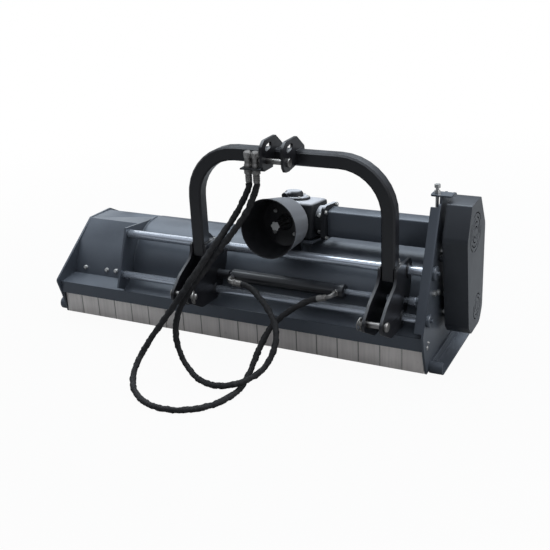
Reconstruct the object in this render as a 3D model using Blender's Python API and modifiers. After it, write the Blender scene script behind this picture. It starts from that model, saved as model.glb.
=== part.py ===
"""Side-shift flail mulcher for a compact tractor, built as an assembly.

Working frame of the source: X runs along the rotor, to the belt side; Y runs from the
tractor to the rear roller; Z is up, with the ground at zero.  X = 0 is the middle of the
deck and Y = 0 the plane of the hanging front flaps.  One empty at the end moves the whole
machine so that the middle of its base stands on the world origin.
"""
import math

import bmesh
import bpy
from mathutils import Euler, Matrix, Vector

NAME = "tractor_mulcher"

# Fits
GAP = 0.0003            # between pieces that are bolted or welded face to face
SLIDE_FIT = 0.0005      # radial play of the hitch bushes on the guide bars
RUN_FIT = 0.0004        # radial play of a turning shaft in its bore
PIN_FIT = 0.0004        # radial play of a pin in its hole

# Deck
DECK_RIGHT = 0.795      # outer face of the tall side plate, on the belt side
DECK_LEFT = -0.785      # outer face of the low side plate
PLATE = 0.008           # side plate
SHEET = 0.005           # deck sheet
PLATE_FOOT = 0.012      # lowest edge of the side plates above the ground
PLATE_REAR = 0.515      # rear edge of the side plates
RIGHT_TOP = 0.600       # top of the tall side plate
RIGHT_TOP_REAR = 0.335
FRONT_TOP_Y = 0.131     # front edge of the tall plate at its top
FRONT_LEAN = 0.42       # metres forward for each metre down
FRONT_KNEE_Z = 0.175    # where the leaning front edge turns back to the flaps
FLANGE_WIDTH = 0.035
FLANGE = 0.006

# Rotor
ROTOR_Y = 0.258
ROTOR_Z = 0.188
ROTOR_TUBE_R = 0.051
ROTOR_SHAFT_R = 0.0175
HOOD_Y = 0.250          # the hood's arc is not concentric with the rotor
HOOD_Z = 0.195
HOOD_R = 0.188          # outside of the hood
HAMMER_COUNT = 16
HAMMER_TIP_R = 0.142
HAMMER_WIDTH = 0.080
HAMMER_EYE_R = 0.074    # bolt circle of the hammers
LUG_T = 0.008
LUG_GAP = 0.0245        # clear width between the two lugs of a hammer

# Lip and flaps
LIP_Y = -0.020
LIP_TOP = 0.158
LIP_BOTTOM = 0.108
ROD_Z = 0.118
ROD_R = 0.005
FLAP_COUNT = 19
FLAP_T = 0.003
FLAP_BOTTOM = 0.015
FLAP_SPACE = 0.0012     # gap between neighbouring flaps
FLAP_EYE = 0.0095       # outer radius of the rolled eye

# End box and bar plate
BAR_PLATE_X = -0.463    # belt-side face of the plate that carries the bars' ends
BAR_LEFT = BAR_PLATE_X - 0.0075      # free ends of the bars, inside that plate
BOX_FOOT = (0.076, 0.162)   # the box's folds, from the lip up to its roof and back
BOX_KNEE = (0.140, 0.286)
BOX_TOP = (0.226, 0.356)
BOX_ROOF = (0.356, 0.352)

# Guide bars
UPPER_Y = 0.065
UPPER_Z = 0.374
UPPER_R = 0.0175
LOWER_Y = 0.000
LOWER_Z = 0.223
LOWER_R = 0.015
BAR_HEAD = 0.012        # thickness of the bars' end discs
BAR_HEAD_R = 0.026

# Drive
DRIVE_Y = 0.195
DRIVE_Z = HOOD_Z + HOOD_R + 0.090
DRIVE_SHAFT_R = 0.0175
INPUT_TILT = 8.0        # degrees that the gearbox leans back, so its input looks up
GEARBOX_X = 0.222
GEARBOX_HALF = 0.068
GEARBOX_ARM = 0.096     # the side towards the belts is longer
GEARBOX_FRONT = 0.118
GEARBOX_REAR = 0.268
GEARBOX_BOTTOM = DRIVE_Z - 0.066
GEARBOX_TOP = DRIVE_Z + 0.073
NECK_R = 0.056
NECK_END = 0.362
NECK_FLANGE = 0.066     # half the size of the flange that carries the drive tube
INPUT_END = 0.008       # free end of the splined input shaft
INPUT_R = 0.0175
SPLINE_ROOT_R = 0.0148
PTO_GUARD_R = 0.108
PTO_GUARD_REAR_R = 0.094
PTO_GUARD_FRONT = -0.050
PTO_GUARD_WALL = 0.003
TUBE_HALF_Y = 0.036
TUBE_HALF_Z = 0.050
TUBE_WALL = 0.005
BOSS_R = 0.036

# Belt drive and guard
UPPER_PULLEY_R = 0.085
LOWER_PULLEY_R = 0.060
BELTS = 3
BELT_PITCH = 0.019
BELT_TOP = 0.013
BELT_BASE = 0.0075
BELT_DEPTH = 0.009
BELT_RISE = 0.0015      # how far a belt stands proud of its pulley
BELT_FIT = 0.0010       # between a belt and each side of its groove
PULLEY_RIM = 0.004      # rim beside the outer grooves
GUARD_BACK = DECK_RIGHT + 0.019
PULLEY_X = GUARD_BACK + 0.046   # middle of the belt set
GUARD_OUT = PULLEY_X + 0.042
GUARD_HEAD = 0.130      # top of the guard above the upper shaft
VENT_RISE = 0.018       # the upper vents' middle above the upper shaft
GUARD_WALL = 0.002
GUARD_PLATE = 0.003      # the guard's inner plate, which the cover lands on

# Hitch
HITCH_X = 0.300         # middle of the hitch, at the belt end of its travel
FORK_HALF = 0.370       # middle of the hitch to the middle of a fork
TUBE = 0.050            # square tube of the arch
ARCH_Y = -0.030
ARCH_Z = 0.773          # axis of the arch's top run
ARCH_BEND = 0.175
ARCH_STEPS = 9          # facets of each bend
TUBE_EDGE = 0.006       # rounding along the square tube's edges
LEG_BOTTOM = 0.372
FORK_PLATE = 0.010
UPPER_BUSH_R = 0.0265
LOWER_BUSH_R = 0.0230
PIN_Y = -0.182
PIN_Z = 0.265
PIN_R = 0.011
LUG_HALF = 0.0395
LINK_LUG = 0.010
LINK_Y = -0.115
LINK_Z = 0.775
LINK_R = 0.0095

# Side-shift cylinder
CYL_Y = 0.022
CYL_Z = 0.277
BARREL_R = 0.025
BORE_R = 0.019
ROD_CYL_R = 0.0105
BARREL_START = 0.030
BARREL_END = 0.485
PISTON_X = 0.095
PORT_RUN = 0.058        # from a port to the free end of its ferrule
LEFT_PORT = (0.035, 1.0, 4.0)      # place along X, way its hose leaves, degrees below level
RIGHT_PORT = (0.455, -1.0, 17.0)
ANCHOR_X = DECK_RIGHT - 0.057

# Rear
ROLLER_Y = 0.580
ROLLER_R = 0.068
ROLLER_STUB_R = 0.0125
BRACKET = 0.008
DOOR_Y = 0.452
DOOR_Z = HOOD_Z + HOOD_R / 2 - 0.001

# Skids
SKID_OUT = 0.050
SKID_T = 0.006
SKID_FRONT = 0.048
SKID_REAR = 0.414

# Hoses
HOSE_R = 0.011
COUPLER_Y = -0.098
COUPLER_X = (0.184, 0.214)
HOLDER_Z = 0.744        # top of the plate that holds the couplers
HOLDER_T = 0.005
COUPLER_NECK = 0.0105
FERRULE_END = 0.690
PORT_OUT = -0.036       # how far forward the hoses leave the cylinder's elbows

# The base of the machine, which is centred on the world origin
FORK_NOSE_R = 0.030
BASE_X = (DECK_LEFT - SKID_OUT, GUARD_OUT)
BASE_Y = (PIN_Y - FORK_NOSE_R, ROLLER_Y + ROLLER_R)

PAINTS = {
    "graphite_paint": ((0.085, 0.088, 0.098, 1.0), 0.38, 0.35),
    "black_paint": ((0.020, 0.020, 0.023, 1.0), 0.42, 0.10),
    "galvanised": ((0.42, 0.40, 0.38, 1.0), 0.48, 0.75),
    "chrome": ((0.78, 0.79, 0.81, 1.0), 0.12, 1.0),
    "bright_steel": ((0.55, 0.55, 0.56, 1.0), 0.30, 1.0),
    "cast_iron": ((0.045, 0.046, 0.050, 1.0), 0.55, 0.55),
    "guard_grey": ((0.16, 0.165, 0.18, 1.0), 0.40, 0.25),
    "black_plastic": ((0.015, 0.015, 0.016, 1.0), 0.50, 0.0),
    "rubber": ((0.012, 0.012, 0.012, 1.0), 0.75, 0.0),
    "hose_sleeve": ((0.014, 0.014, 0.015, 1.0), 0.70, 0.0),
    "roller_steel": ((0.060, 0.062, 0.068, 1.0), 0.45, 0.40),
}


# Scene set-up

def clear_scene():
    for obj in list(bpy.data.objects):
        bpy.data.objects.remove(obj)


def new_collection(name):
    coll = bpy.data.collections.new(name)
    bpy.context.scene.collection.children.link(coll)
    return coll


def paint(name):
    mat = bpy.data.materials.get(name)
    if mat is None:
        color, roughness, metallic = PAINTS[name]
        mat = bpy.data.materials.new(name)
        mat.use_nodes = True
        shader = mat.node_tree.nodes["Principled BSDF"]
        shader.inputs["Base Color"].default_value = color
        shader.inputs["Roughness"].default_value = roughness
        shader.inputs["Metallic"].default_value = metallic
        mat.diffuse_color = color
    return mat


clear_scene()
PARTS = new_collection(NAME)
TOOLS = new_collection("cutters")


def group(name, location=(0.0, 0.0, 0.0), parent=None):
    empty = bpy.data.objects.new(name, None)
    empty.empty_display_size = 0.05
    empty.location = location
    empty.parent = parent
    PARTS.objects.link(empty)
    return empty


# Outlines, as lists of (across, up) points

def arc(cx, cy, radius, start, end, steps):
    """Points of an arc, its angles in degrees."""
    points = []
    for i in range(steps + 1):
        a = math.radians(start + (end - start) * i / steps)
        points.append((cx + radius * math.cos(a), cy + radius * math.sin(a)))
    return points


def circle(cx, cy, radius, steps=16):
    return arc(cx, cy, radius, 0.0, 360.0 - 360.0 / steps, steps - 1)


def bore(cx, cy, radius, steps=16):
    """A round hole whose flats lie on its radius, so that a shaft of any facets fits in it."""
    return circle(cx, cy, radius / math.cos(math.pi / steps), steps)


def slot(cx, cy, length, width, angle=0.0, steps=4):
    """A slot with round ends, its length over all."""
    half = length / 2 - width / 2
    ends = arc(half, 0.0, width / 2, -90.0, 90.0, steps) + arc(-half, 0.0, width / 2, 90.0, 270.0, steps)
    ca, sa = math.cos(math.radians(angle)), math.sin(math.radians(angle))
    return [(cx + x * ca - y * sa, cy + x * sa + y * ca) for x, y in ends]


def rounded(corners, steps=2):
    """A closed outline from (across, up, radius) corners, each radius limited by its sides."""
    points = []
    count = len(corners)
    for i, (x, y, radius) in enumerate(corners):
        here = Vector((x, y))
        before = Vector(corners[i - 1][:2]) - here
        after = Vector(corners[(i + 1) % count][:2]) - here
        if radius <= 0.0:
            points.append((x, y))
            continue
        turn = before.angle(after)
        reach = min(radius / math.tan(turn / 2), 0.48 * min(before.length, after.length))
        radius = reach * math.tan(turn / 2)
        middle = here + (before.normalized() + after.normalized()).normalized() * radius / math.sin(turn / 2)
        first = here + before.normalized() * reach - middle
        last = here + after.normalized() * reach - middle
        sweep = first.angle_signed(last)
        for k in range(steps + 1):
            a = math.atan2(first.y, first.x) - sweep * k / steps
            points.append((middle.x + radius * math.cos(a), middle.y + radius * math.sin(a)))
    return points


def front_edge(z):
    """The tall plate's leaning front edge."""
    return FRONT_TOP_Y - (RIGHT_TOP - z) * FRONT_LEAN


def tilted(y, z):
    """Where a point of the upright gearbox goes when it leans back round the cross shaft."""
    lean = math.radians(-INPUT_TILT)
    across, up = y - DRIVE_Y, z - DRIVE_Z
    return (DRIVE_Y + across * math.cos(lean) - up * math.sin(lean),
            DRIVE_Z + across * math.sin(lean) + up * math.cos(lean))


# Solids

TURNS = {
    "X": (0.0, math.pi / 2, 0.0),
    "Y": (-math.pi / 2, 0.0, 0.0),
    "Z": (0.0, 0.0, 0.0),
}

AXES = {
    "X": Matrix(((0, 0, 1), (1, 0, 0), (0, 1, 0))).to_4x4(),
    "Y": Matrix(((1, 0, 0), (0, 0, -1), (0, 1, 0))).to_4x4(),
    "Z": Matrix.Identity(4),
}


def add_object(name, mesh, color, parent, origin=(0.0, 0.0, 0.0), tool=False):
    """Links a mesh that is written in the source's frame, with its origin at a given point."""
    mesh.transform(Matrix.Translation(-Vector(origin)))
    obj = bpy.data.objects.new(name, mesh)
    obj.location = origin
    obj.parent = parent
    if tool:
        TOOLS.objects.link(obj)
        obj.hide_render = True
        obj.display_type = "WIRE"
    else:
        PARTS.objects.link(obj)
        mesh.materials.append(paint(color))
    return obj


def cleaned(mesh):
    bm = bmesh.new()
    bm.from_mesh(mesh)
    bmesh.ops.remove_doubles(bm, verts=bm.verts, dist=1e-6)
    bmesh.ops.recalc_face_normals(bm, faces=bm.faces)
    bm.to_mesh(mesh)
    bm.free()
    return mesh


def curve_mesh(curve):
    """The mesh of a curve, with its caps welded on."""
    holder = bpy.data.objects.new(curve.name, curve)
    PARTS.objects.link(holder)
    graph = bpy.context.evaluated_depsgraph_get()
    mesh = bpy.data.meshes.new_from_object(holder.evaluated_get(graph))
    bpy.data.objects.remove(holder)
    return cleaned(mesh)


def plate_mesh(outline, lo, hi, axis="X", holes=()):
    """A flat outline with its holes, given thickness from lo to hi along an axis."""
    curve = bpy.data.curves.new("outline", "CURVE")
    curve.dimensions = "2D"
    curve.fill_mode = "BOTH"
    curve.extrude = (hi - lo) / 2
    for ring in (outline, *holes):
        spline = curve.splines.new("POLY")
        spline.points.add(len(ring) - 1)
        for point, (x, y) in zip(spline.points, ring):
            point.co = (x, y, 0.0, 1.0)
        spline.use_cyclic_u = True
    mesh = curve_mesh(curve)
    turn = AXES[axis]
    along = turn @ Vector((0.0, 0.0, 1.0))
    middle = (hi + lo) / 2
    shift = Vector([abs(a) * middle for a in along])
    mesh.transform(Matrix.Translation(shift) @ turn)
    return mesh


def tube_mesh(points, radius, resolution=3):
    """A round bar along a list of points."""
    curve = bpy.data.curves.new("bar", "CURVE")
    curve.dimensions = "3D"
    curve.bevel_depth = radius
    curve.bevel_resolution = resolution
    curve.use_fill_caps = True
    spline = curve.splines.new("POLY")
    spline.points.add(len(points) - 1)
    for point, co in zip(spline.points, points):
        point.co = (*co, 1.0)
    return curve_mesh(curve)


def rod_mesh(radius, lo, hi, centre, axis="X", steps=16):
    """A plain round bar from lo to hi along an axis, through a centre."""
    bm = bmesh.new()
    bmesh.ops.create_cone(bm, cap_ends=True, segments=steps, radius1=radius, radius2=radius, depth=hi - lo)
    mesh = bpy.data.meshes.new("rod")
    bm.to_mesh(mesh)
    bm.free()
    middle = Vector(centre)
    middle["XYZ".index(axis)] = (lo + hi) / 2
    mesh.transform(Matrix.Translation(middle) @ Euler(TURNS[axis]).to_matrix().to_4x4())
    return mesh


def bore_mesh(radius, lo, hi, centre, axis="X", steps=16):
    return rod_mesh(radius / math.cos(math.pi / steps), lo, hi, centre, axis, steps)


def turned(name, profile, centre, axis, color, parent, steps=20, tool=False):
    """A turned piece: (radius, height) points from the top down, the heights along an axis."""
    mesh = bpy.data.meshes.new(name)
    points = [(r, 0.0, h) for r, h in profile]
    edges = [(i, i + 1) for i in range(len(points) - 1)]
    if profile[0][0] > 0.0:
        edges.append((len(points) - 1, 0))
    mesh.from_pydata(points, edges, [])
    obj = add_object(name, mesh, color, parent, tool=tool)
    obj.location = centre
    obj.rotation_euler = TURNS[axis]
    screw = obj.modifiers.new("Turn", "SCREW")
    screw.steps = steps
    screw.render_steps = steps
    screw.use_merge_vertices = True
    screw.merge_threshold = 0.00001
    screw.use_smooth_shade = False
    return obj


def turned_tool(obj, profile, centre, axis, steps=20):
    """A turned shape for a Boolean on a piece."""
    return turned(f"{obj.name}_turned_{len(TOOLS.objects):03d}", profile, centre, axis, None, obj.parent,
                  steps, tool=True)


def box_mesh(lo, hi):
    bm = bmesh.new()
    bmesh.ops.create_cube(bm, size=1.0)
    size = [b - a for a, b in zip(lo, hi)]
    centre = [(a + b) / 2 for a, b in zip(lo, hi)]
    bmesh.ops.scale(bm, vec=size, verts=bm.verts)
    bmesh.ops.translate(bm, vec=centre, verts=bm.verts)
    mesh = bpy.data.meshes.new("box")
    bm.to_mesh(mesh)
    bm.free()
    return mesh


def combine(obj, shape, operation):
    """A Boolean with a hidden tool object, made here unless the shape is one already."""
    tool = shape
    if not isinstance(shape, bpy.types.Object):
        tool = add_object(f"{obj.name}_{operation.lower()}_{len(TOOLS.objects):03d}", shape, None,
                          obj.parent, tool=True)
    step = obj.modifiers.new(operation.title(), "BOOLEAN")
    step.operation = operation
    step.object = tool
    step.solver = "EXACT"
    return obj


def cut(obj, shape):
    return combine(obj, shape, "DIFFERENCE")


def fuse(obj, shape):
    return combine(obj, shape, "UNION")


def swept_mesh(rings, closed=False):
    """A body through rings of points: faces from ring to ring, and an end cap on an open run."""
    bm = bmesh.new()
    loops = [[bm.verts.new(co) for co in ring] for ring in rings]
    follow = loops[1:] + (loops[:1] if closed else [])
    for here, after in zip(loops, follow):
        for i in range(len(here)):
            k = (i + 1) % len(here)
            bm.faces.new((here[i], here[k], after[k], after[i]))
    if not closed:
        bm.faces.new(loops[0])
        bm.faces.new(list(reversed(loops[-1])))
    bmesh.ops.recalc_face_normals(bm, faces=bm.faces)
    mesh = bpy.data.meshes.new("sweep")
    bm.to_mesh(mesh)
    bm.free()
    return mesh


def merged(meshes):
    """Several separate bodies in one mesh, for one Boolean."""
    bm = bmesh.new()
    for mesh in meshes:
        bm.from_mesh(mesh)
        bpy.data.meshes.remove(mesh)
    mesh = bpy.data.meshes.new("bodies")
    bm.to_mesh(mesh)
    bm.free()
    return mesh


def soften(obj, width, segments=1, angle=40.0):
    """Small rounded edges, ahead of any Boolean."""
    bevel = obj.modifiers.new("Edges", "BEVEL")
    bevel.width = width
    bevel.segments = segments
    bevel.limit_method = "ANGLE"
    bevel.angle_limit = math.radians(angle)
    return obj


def hex_outline(cx, cy, across):
    return circle(cx, cy, across / math.sqrt(3.0), 6)


# Deck

def hood_profile():
    """Middle line of the deck sheet, from the lip over the rotor to the rear door's hinge."""
    radius = HOOD_R - SHEET / 2
    lip = LIP_Y + SHEET / 2
    line = [(lip, LIP_TOP - SHEET)]
    line += arc(HOOD_Y, HOOD_Z, radius, 176.0, 60.0, 18)
    end = line[-1]
    slope = math.tan(math.radians(30.0))
    rear = DOOR_Y - 0.016
    line.append((rear, end[1] - (rear - end[0]) * slope))
    return line


def swept_sheet(name, line, left, right):
    """The middle surface of a folded sheet: a (Y, Z) line swept along X."""
    bm = bmesh.new()
    near = [bm.verts.new((left, y, z)) for y, z in line]
    edges = [bm.edges.new(pair) for pair in zip(near, near[1:])]
    swept = bmesh.ops.extrude_edge_only(bm, edges=edges)
    far = [v for v in swept["geom"] if isinstance(v, bmesh.types.BMVert)]
    bmesh.ops.translate(bm, vec=(right - left, 0.0, 0.0), verts=far)
    bmesh.ops.recalc_face_normals(bm, faces=bm.faces)
    mesh = bpy.data.meshes.new(name)
    bm.to_mesh(mesh)
    bm.free()
    return mesh


def deck_shell(parent):
    """The hood: one sheet folded down to the front lip, with the gearbox stand on top."""
    right = DECK_RIGHT - PLATE - GAP
    mesh = swept_sheet("deck_shell", hood_profile(), BAR_PLATE_X + GAP, right)
    deck = add_object("deck_shell", mesh, "graphite_paint", parent)
    sheet = deck.modifiers.new("Sheet", "SOLIDIFY")
    sheet.thickness = SHEET
    sheet.offset = 0.0
    lip = box_mesh((DECK_LEFT + PLATE + GAP, LIP_Y, LIP_BOTTOM), (right, LIP_Y + SHEET, LIP_TOP))
    fuse(deck, lip)
    for side in (-1.0, 1.0):
        x = GEARBOX_X + side * (GEARBOX_HALF - 0.014)
        foot = [(y, z, 0.0) for y, z in arc(HOOD_Y, HOOD_Z, HOOD_R - SHEET / 2, 132.0, 81.0, 8)]
        stand = rounded([*foot, (*tilted(GEARBOX_REAR + 0.010, GEARBOX_BOTTOM - 0.008), 0.004),
                         (*tilted(GEARBOX_FRONT, GEARBOX_BOTTOM - 0.008), 0.006)])
        fuse(deck, plate_mesh(stand, x - 0.004, x + 0.004))
    low, high = GEARBOX_BOTTOM - 0.009, GEARBOX_BOTTOM - GAP
    table = [tilted(GEARBOX_FRONT - 0.004, low), tilted(GEARBOX_REAR + 0.014, low),
             tilted(GEARBOX_REAR + 0.014, high), tilted(GEARBOX_FRONT - 0.004, high)]
    return fuse(deck, plate_mesh(table, GEARBOX_X - GEARBOX_HALF - 0.012, GEARBOX_X + GEARBOX_ARM + 0.004))


def bolt_row(places, x, across=0.017, height=0.010, out=1.0):
    """Hexagon heads standing on a YZ face."""
    lo, hi = sorted((x - out * 0.002, x + out * height))
    return [plate_mesh(hex_outline(y, z, across), lo, hi) for y, z in places]


def left_side_plate(parent):
    """The low side plate, shaped like the end box in front and open to the rotor inside."""
    outline = rounded([
        (0.002, PLATE_FOOT, 0.004), (-0.020, 0.100, 0.030), (LIP_Y - 0.022, LIP_TOP + 0.010, 0.012),
        (BOX_TOP[0] + 0.002, BOX_TOP[1] + 0.004, 0.004), (BOX_ROOF[0] + 0.014, BOX_ROOF[1] + 0.006, 0.012),
        (PLATE_REAR - 0.02, 0.290, 0.030), (PLATE_REAR, 0.070, 0.030), (PLATE_REAR - 0.03, PLATE_FOOT, 0.020)])
    holes = [bore(ROTOR_Y, ROTOR_Z, ROTOR_SHAFT_R + 0.006),
             bore(0.0, ROD_Z, ROD_R + PIN_FIT, 8),
             bore(DOOR_Y, DOOR_Z, 0.006 + PIN_FIT, 8)]
    mesh = plate_mesh(outline, DECK_LEFT, DECK_LEFT + PLATE, holes=holes)
    return add_object("left_side_plate", mesh, "graphite_paint", parent)


def right_side_plate(parent):
    """The tall side plate with its front flange, tension bracket and the rod's anchor."""
    outer = DECK_RIGHT
    inner = DECK_RIGHT - PLATE
    knee_y = front_edge(FRONT_KNEE_Z)
    outline = rounded([
        (0.002, PLATE_FOOT, 0.004), (-0.030, 0.100, 0.050), (knee_y, FRONT_KNEE_Z, 0.020),
        (FRONT_TOP_Y, RIGHT_TOP, 0.008), (RIGHT_TOP_REAR, RIGHT_TOP - 0.012, 0.020),
        (RIGHT_TOP_REAR + 0.012, 0.400, 0.040), (PLATE_REAR - 0.02, 0.290, 0.030),
        (PLATE_REAR, 0.070, 0.030), (PLATE_REAR - 0.03, PLATE_FOOT, 0.020)])
    holes = [bore(ROTOR_Y, ROTOR_Z, ROTOR_SHAFT_R + 0.006),
             bore(DRIVE_Y, DRIVE_Z, BOSS_R + GAP),
             bore(UPPER_Y, UPPER_Z, UPPER_R + GAP), bore(LOWER_Y, LOWER_Z, LOWER_R + GAP),
             bore(0.0, ROD_Z, ROD_R + PIN_FIT, 8),
             bore(DOOR_Y, DOOR_Z, 0.006 + PIN_FIT, 8)]
    side = add_object("right_side_plate", plate_mesh(outline, inner, outer, holes=holes),
                      "graphite_paint", parent)
    low_z = FRONT_KNEE_Z + 0.012
    high_z = RIGHT_TOP - 0.012
    flange = [(front_edge(low_z), low_z), (front_edge(high_z), high_z),
              (front_edge(high_z) + FLANGE * 1.08, high_z), (front_edge(low_z) + FLANGE * 1.08, low_z)]
    fuse(side, plate_mesh(flange, outer - FLANGE_WIDTH, inner + 0.002))
    tab_z = RIGHT_TOP + 0.022
    post = [(FRONT_TOP_Y + 0.008, RIGHT_TOP - 0.020), (FRONT_TOP_Y + 0.012, tab_z + 0.002),
            (FRONT_TOP_Y + 0.080, tab_z + 0.002), (FRONT_TOP_Y + 0.105, RIGHT_TOP - 0.020)]
    fuse(side, plate_mesh(post, inner, outer))
    tab = rounded([(inner - 0.034, FRONT_TOP_Y + 0.012, 0.008), (outer + 0.032, FRONT_TOP_Y + 0.012, 0.004),
                   (outer + 0.032, FRONT_TOP_Y + 0.060, 0.012), (inner - 0.034, FRONT_TOP_Y + 0.060, 0.008)])
    hole = bore(*SCREW, SCREW_R + PIN_FIT, 12)
    fuse(side, plate_mesh(tab, tab_z, tab_z + 0.006, "Z", holes=[hole]))
    anchor = rounded([(CYL_Y - 0.021, CYL_Z - 0.020, 0.014), (CYL_Y + 0.021, CYL_Z - 0.020, 0.014),
                      (CYL_Y + 0.021, CYL_Z + 0.020, 0.014), (CYL_Y - 0.021, CYL_Z + 0.020, 0.014)])
    fuse(side, plate_mesh(anchor, ANCHOR_X + 0.012, inner + 0.002))
    bolts = [(0.061, 0.300), (0.110, 0.285), (0.150, 0.425), (0.195, 0.175)]
    fuse(side, merged(bolt_row(bolts, outer)))
    return side


SCREW = (DECK_RIGHT - PLATE - 0.016, FRONT_TOP_Y + 0.036)
SCREW_R = 0.006


def end_box(parent):
    """The folded end of the deck, with the bulkhead that takes the bars' free ends welded on."""
    left = DECK_LEFT + PLATE + GAP
    foot = (LIP_Y + SHEET + GAP, LIP_TOP - SHEET)
    rear = DOOR_Y - 0.016
    slope = math.tan(math.radians(30.0))
    line = [foot, BOX_FOOT, BOX_KNEE, BOX_TOP, BOX_ROOF, (rear, BOX_ROOF[1] - (rear - BOX_ROOF[0]) * slope)]
    box = add_object("end_box", swept_sheet("end_box", line, left, BAR_PLATE_X - PLATE / 2), "graphite_paint",
                     parent)
    sheet = box.modifiers.new("Sheet", "SOLIDIFY")
    sheet.thickness = 0.004
    sheet.offset = 0.0
    low = LIP_TOP + 0.022
    top = UPPER_Z + 0.030
    bulkhead = [(front_edge(low) - 0.002, low), (front_edge(top) - 0.002, top), (0.200, HOOD_Z + HOOD_R + 0.003),
                (HOOD_Y + 0.010, HOOD_Z + HOOD_R + 0.001), (BOX_ROOF[0] + 0.004, BOX_ROOF[1]), BOX_TOP, BOX_KNEE,
                BOX_FOOT, (LIP_Y + 0.012, LIP_TOP + 0.002)]
    fuse(box, plate_mesh(bulkhead, BAR_PLATE_X - PLATE, BAR_PLATE_X))
    cut(box, bore_mesh(UPPER_R + GAP, BAR_LEFT - 0.0006, BAR_PLATE_X + 0.02, (0.0, UPPER_Y, UPPER_Z)))
    return cut(box, bore_mesh(LOWER_R + GAP, BAR_LEFT - 0.0006, BAR_PLATE_X + 0.02, (0.0, LOWER_Y, LOWER_Z)))


def guide_bar(parent, name, radius, y, z):
    """A ground and chromed bar, with its end disc outside the tall plate."""
    left = BAR_LEFT
    disc = DECK_RIGHT + GAP
    head = radius + (BAR_HEAD_R - UPPER_R)
    profile = [(0.0, disc + BAR_HEAD + 0.008), (0.007, disc + BAR_HEAD + 0.008), (0.007, disc + BAR_HEAD),
               (head - 0.003, disc + BAR_HEAD), (head, disc + BAR_HEAD - 0.003), (head, disc),
               (radius, disc), (radius, left + 0.001), (radius - 0.001, left), (0.0, left)]
    return turned(name, profile, (0.0, y, z), "X", "chrome", parent)


# Flaps

def flap_rod(parent):
    """The round rod that carries every front flap, in holes of both side plates."""
    return add_object("flap_rod", rod_mesh(ROD_R, DECK_LEFT - 0.004, DECK_RIGHT + 0.004, (0.0, 0.0, ROD_Z), steps=8),
                      "bright_steel", parent)


def flap_outline():
    """A strip whose top is rolled round the rod, so that it hangs plumb below it."""
    half = FLAP_T / 2
    eye = arc(0.0, ROD_Z, FLAP_EYE, -72.0, 252.0, 8)
    return eye + [(-half, ROD_Z - FLAP_EYE - 0.003), (-half, FLAP_BOTTOM + 0.0005),
                  (-half + 0.0005, FLAP_BOTTOM), (half - 0.0005, FLAP_BOTTOM),
                  (half, FLAP_BOTTOM + 0.0005), (half, ROD_Z - FLAP_EYE - 0.003)]


def front_flap(parent, index):
    first = DECK_LEFT + PLATE + 0.001
    pitch = (DECK_RIGHT - PLATE - 0.001 - first) / FLAP_COUNT
    left = first + index * pitch
    mesh = plate_mesh(flap_outline(), left + FLAP_SPACE / 2, left + pitch - FLAP_SPACE / 2,
                      holes=[bore(0.0, ROD_Z, ROD_R + RUN_FIT, 8)])
    return add_object(f"front_flap_{index + 1:02d}", mesh, "galvanised", parent,
                      (left + pitch / 2, 0.0, ROD_Z))


# Drive

def gearbox_housing(parent):
    """The right-angle gearbox: cast body, round faces for guard and neck, cover and breather."""
    mesh = box_mesh((GEARBOX_X - GEARBOX_HALF, GEARBOX_FRONT, GEARBOX_BOTTOM),
                    (GEARBOX_X + GEARBOX_ARM, GEARBOX_REAR, GEARBOX_TOP))
    body = add_object("gearbox_housing", mesh, "cast_iron", parent)
    soften(body, 0.014, 2)
    centre = (GEARBOX_X, DRIVE_Y, DRIVE_Z)
    face_r = 0.064
    fuse(body, rod_mesh(face_r, PTO_REAR + GAP, GEARBOX_FRONT + 0.02, centre, "Y", 24))
    fuse(body, rod_mesh(NECK_R, GEARBOX_X + 0.02, NECK_END, centre, "X", 24))
    f = NECK_FLANGE
    flange = rounded([(DRIVE_Y - f, DRIVE_Z - f + 0.004, 0.018), (DRIVE_Y + f, DRIVE_Z - f + 0.004, 0.018),
                      (DRIVE_Y + f, DRIVE_Z + f, 0.018), (DRIVE_Y - f, DRIVE_Z + f, 0.018)], 3)
    fuse(body, plate_mesh(flange, NECK_END - 0.014, NECK_END))
    lid_y = (GEARBOX_FRONT + GEARBOX_REAR) / 2
    cover = [(0.0, GEARBOX_TOP + 0.010), (0.049, GEARBOX_TOP + 0.010), (0.053, GEARBOX_TOP + 0.006),
             (0.053, GEARBOX_TOP - 0.006), (0.0, GEARBOX_TOP - 0.006)]
    fuse(body, turned_tool(body, cover, (GEARBOX_X - 0.004, lid_y, 0.0), "Z"))
    dome = [(0.0, GEARBOX_TOP + 0.030), (0.028, GEARBOX_TOP + 0.030), (0.035, GEARBOX_TOP + 0.022),
            (0.037, GEARBOX_TOP + 0.004), (0.0, GEARBOX_TOP + 0.004)]
    fuse(body, turned_tool(body, dome, (GEARBOX_X - 0.014, lid_y, 0.0), "Z", 18))
    plug = (GEARBOX_X - 0.026, 0.0, GEARBOX_TOP + 0.017)
    fuse(body, rod_mesh(0.011, lid_y - 0.060, lid_y - 0.020, plug, "Y", 12))
    ribs = []
    for side in (-1.0, 1.0):
        x = GEARBOX_X + side * 0.040
        ribs.append(plate_mesh([(GEARBOX_FRONT - 0.014, DRIVE_Z - 0.055), (GEARBOX_FRONT - 0.014, DRIVE_Z - 0.030),
                                (GEARBOX_FRONT + 0.010, DRIVE_Z - 0.020), (GEARBOX_FRONT + 0.010, GEARBOX_BOTTOM + 0.012)],
                               x - 0.004, x + 0.004))
    fuse(body, merged(ribs))
    cut(body, bore_mesh(INPUT_R + RUN_FIT, PTO_REAR - 0.02, INPUT_REAR + 0.0006, centre, "Y"))
    cut(body, bore_mesh(DRIVE_SHAFT_R + RUN_FIT, SHAFT_START - 0.0006, NECK_END + 0.02, centre, "X"))
    return body


PTO_REAR = 0.094        # rear face of the shaft guard, on the gearbox's round face
INPUT_REAR = 0.166
SHAFT_START = GEARBOX_X + 0.026


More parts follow.
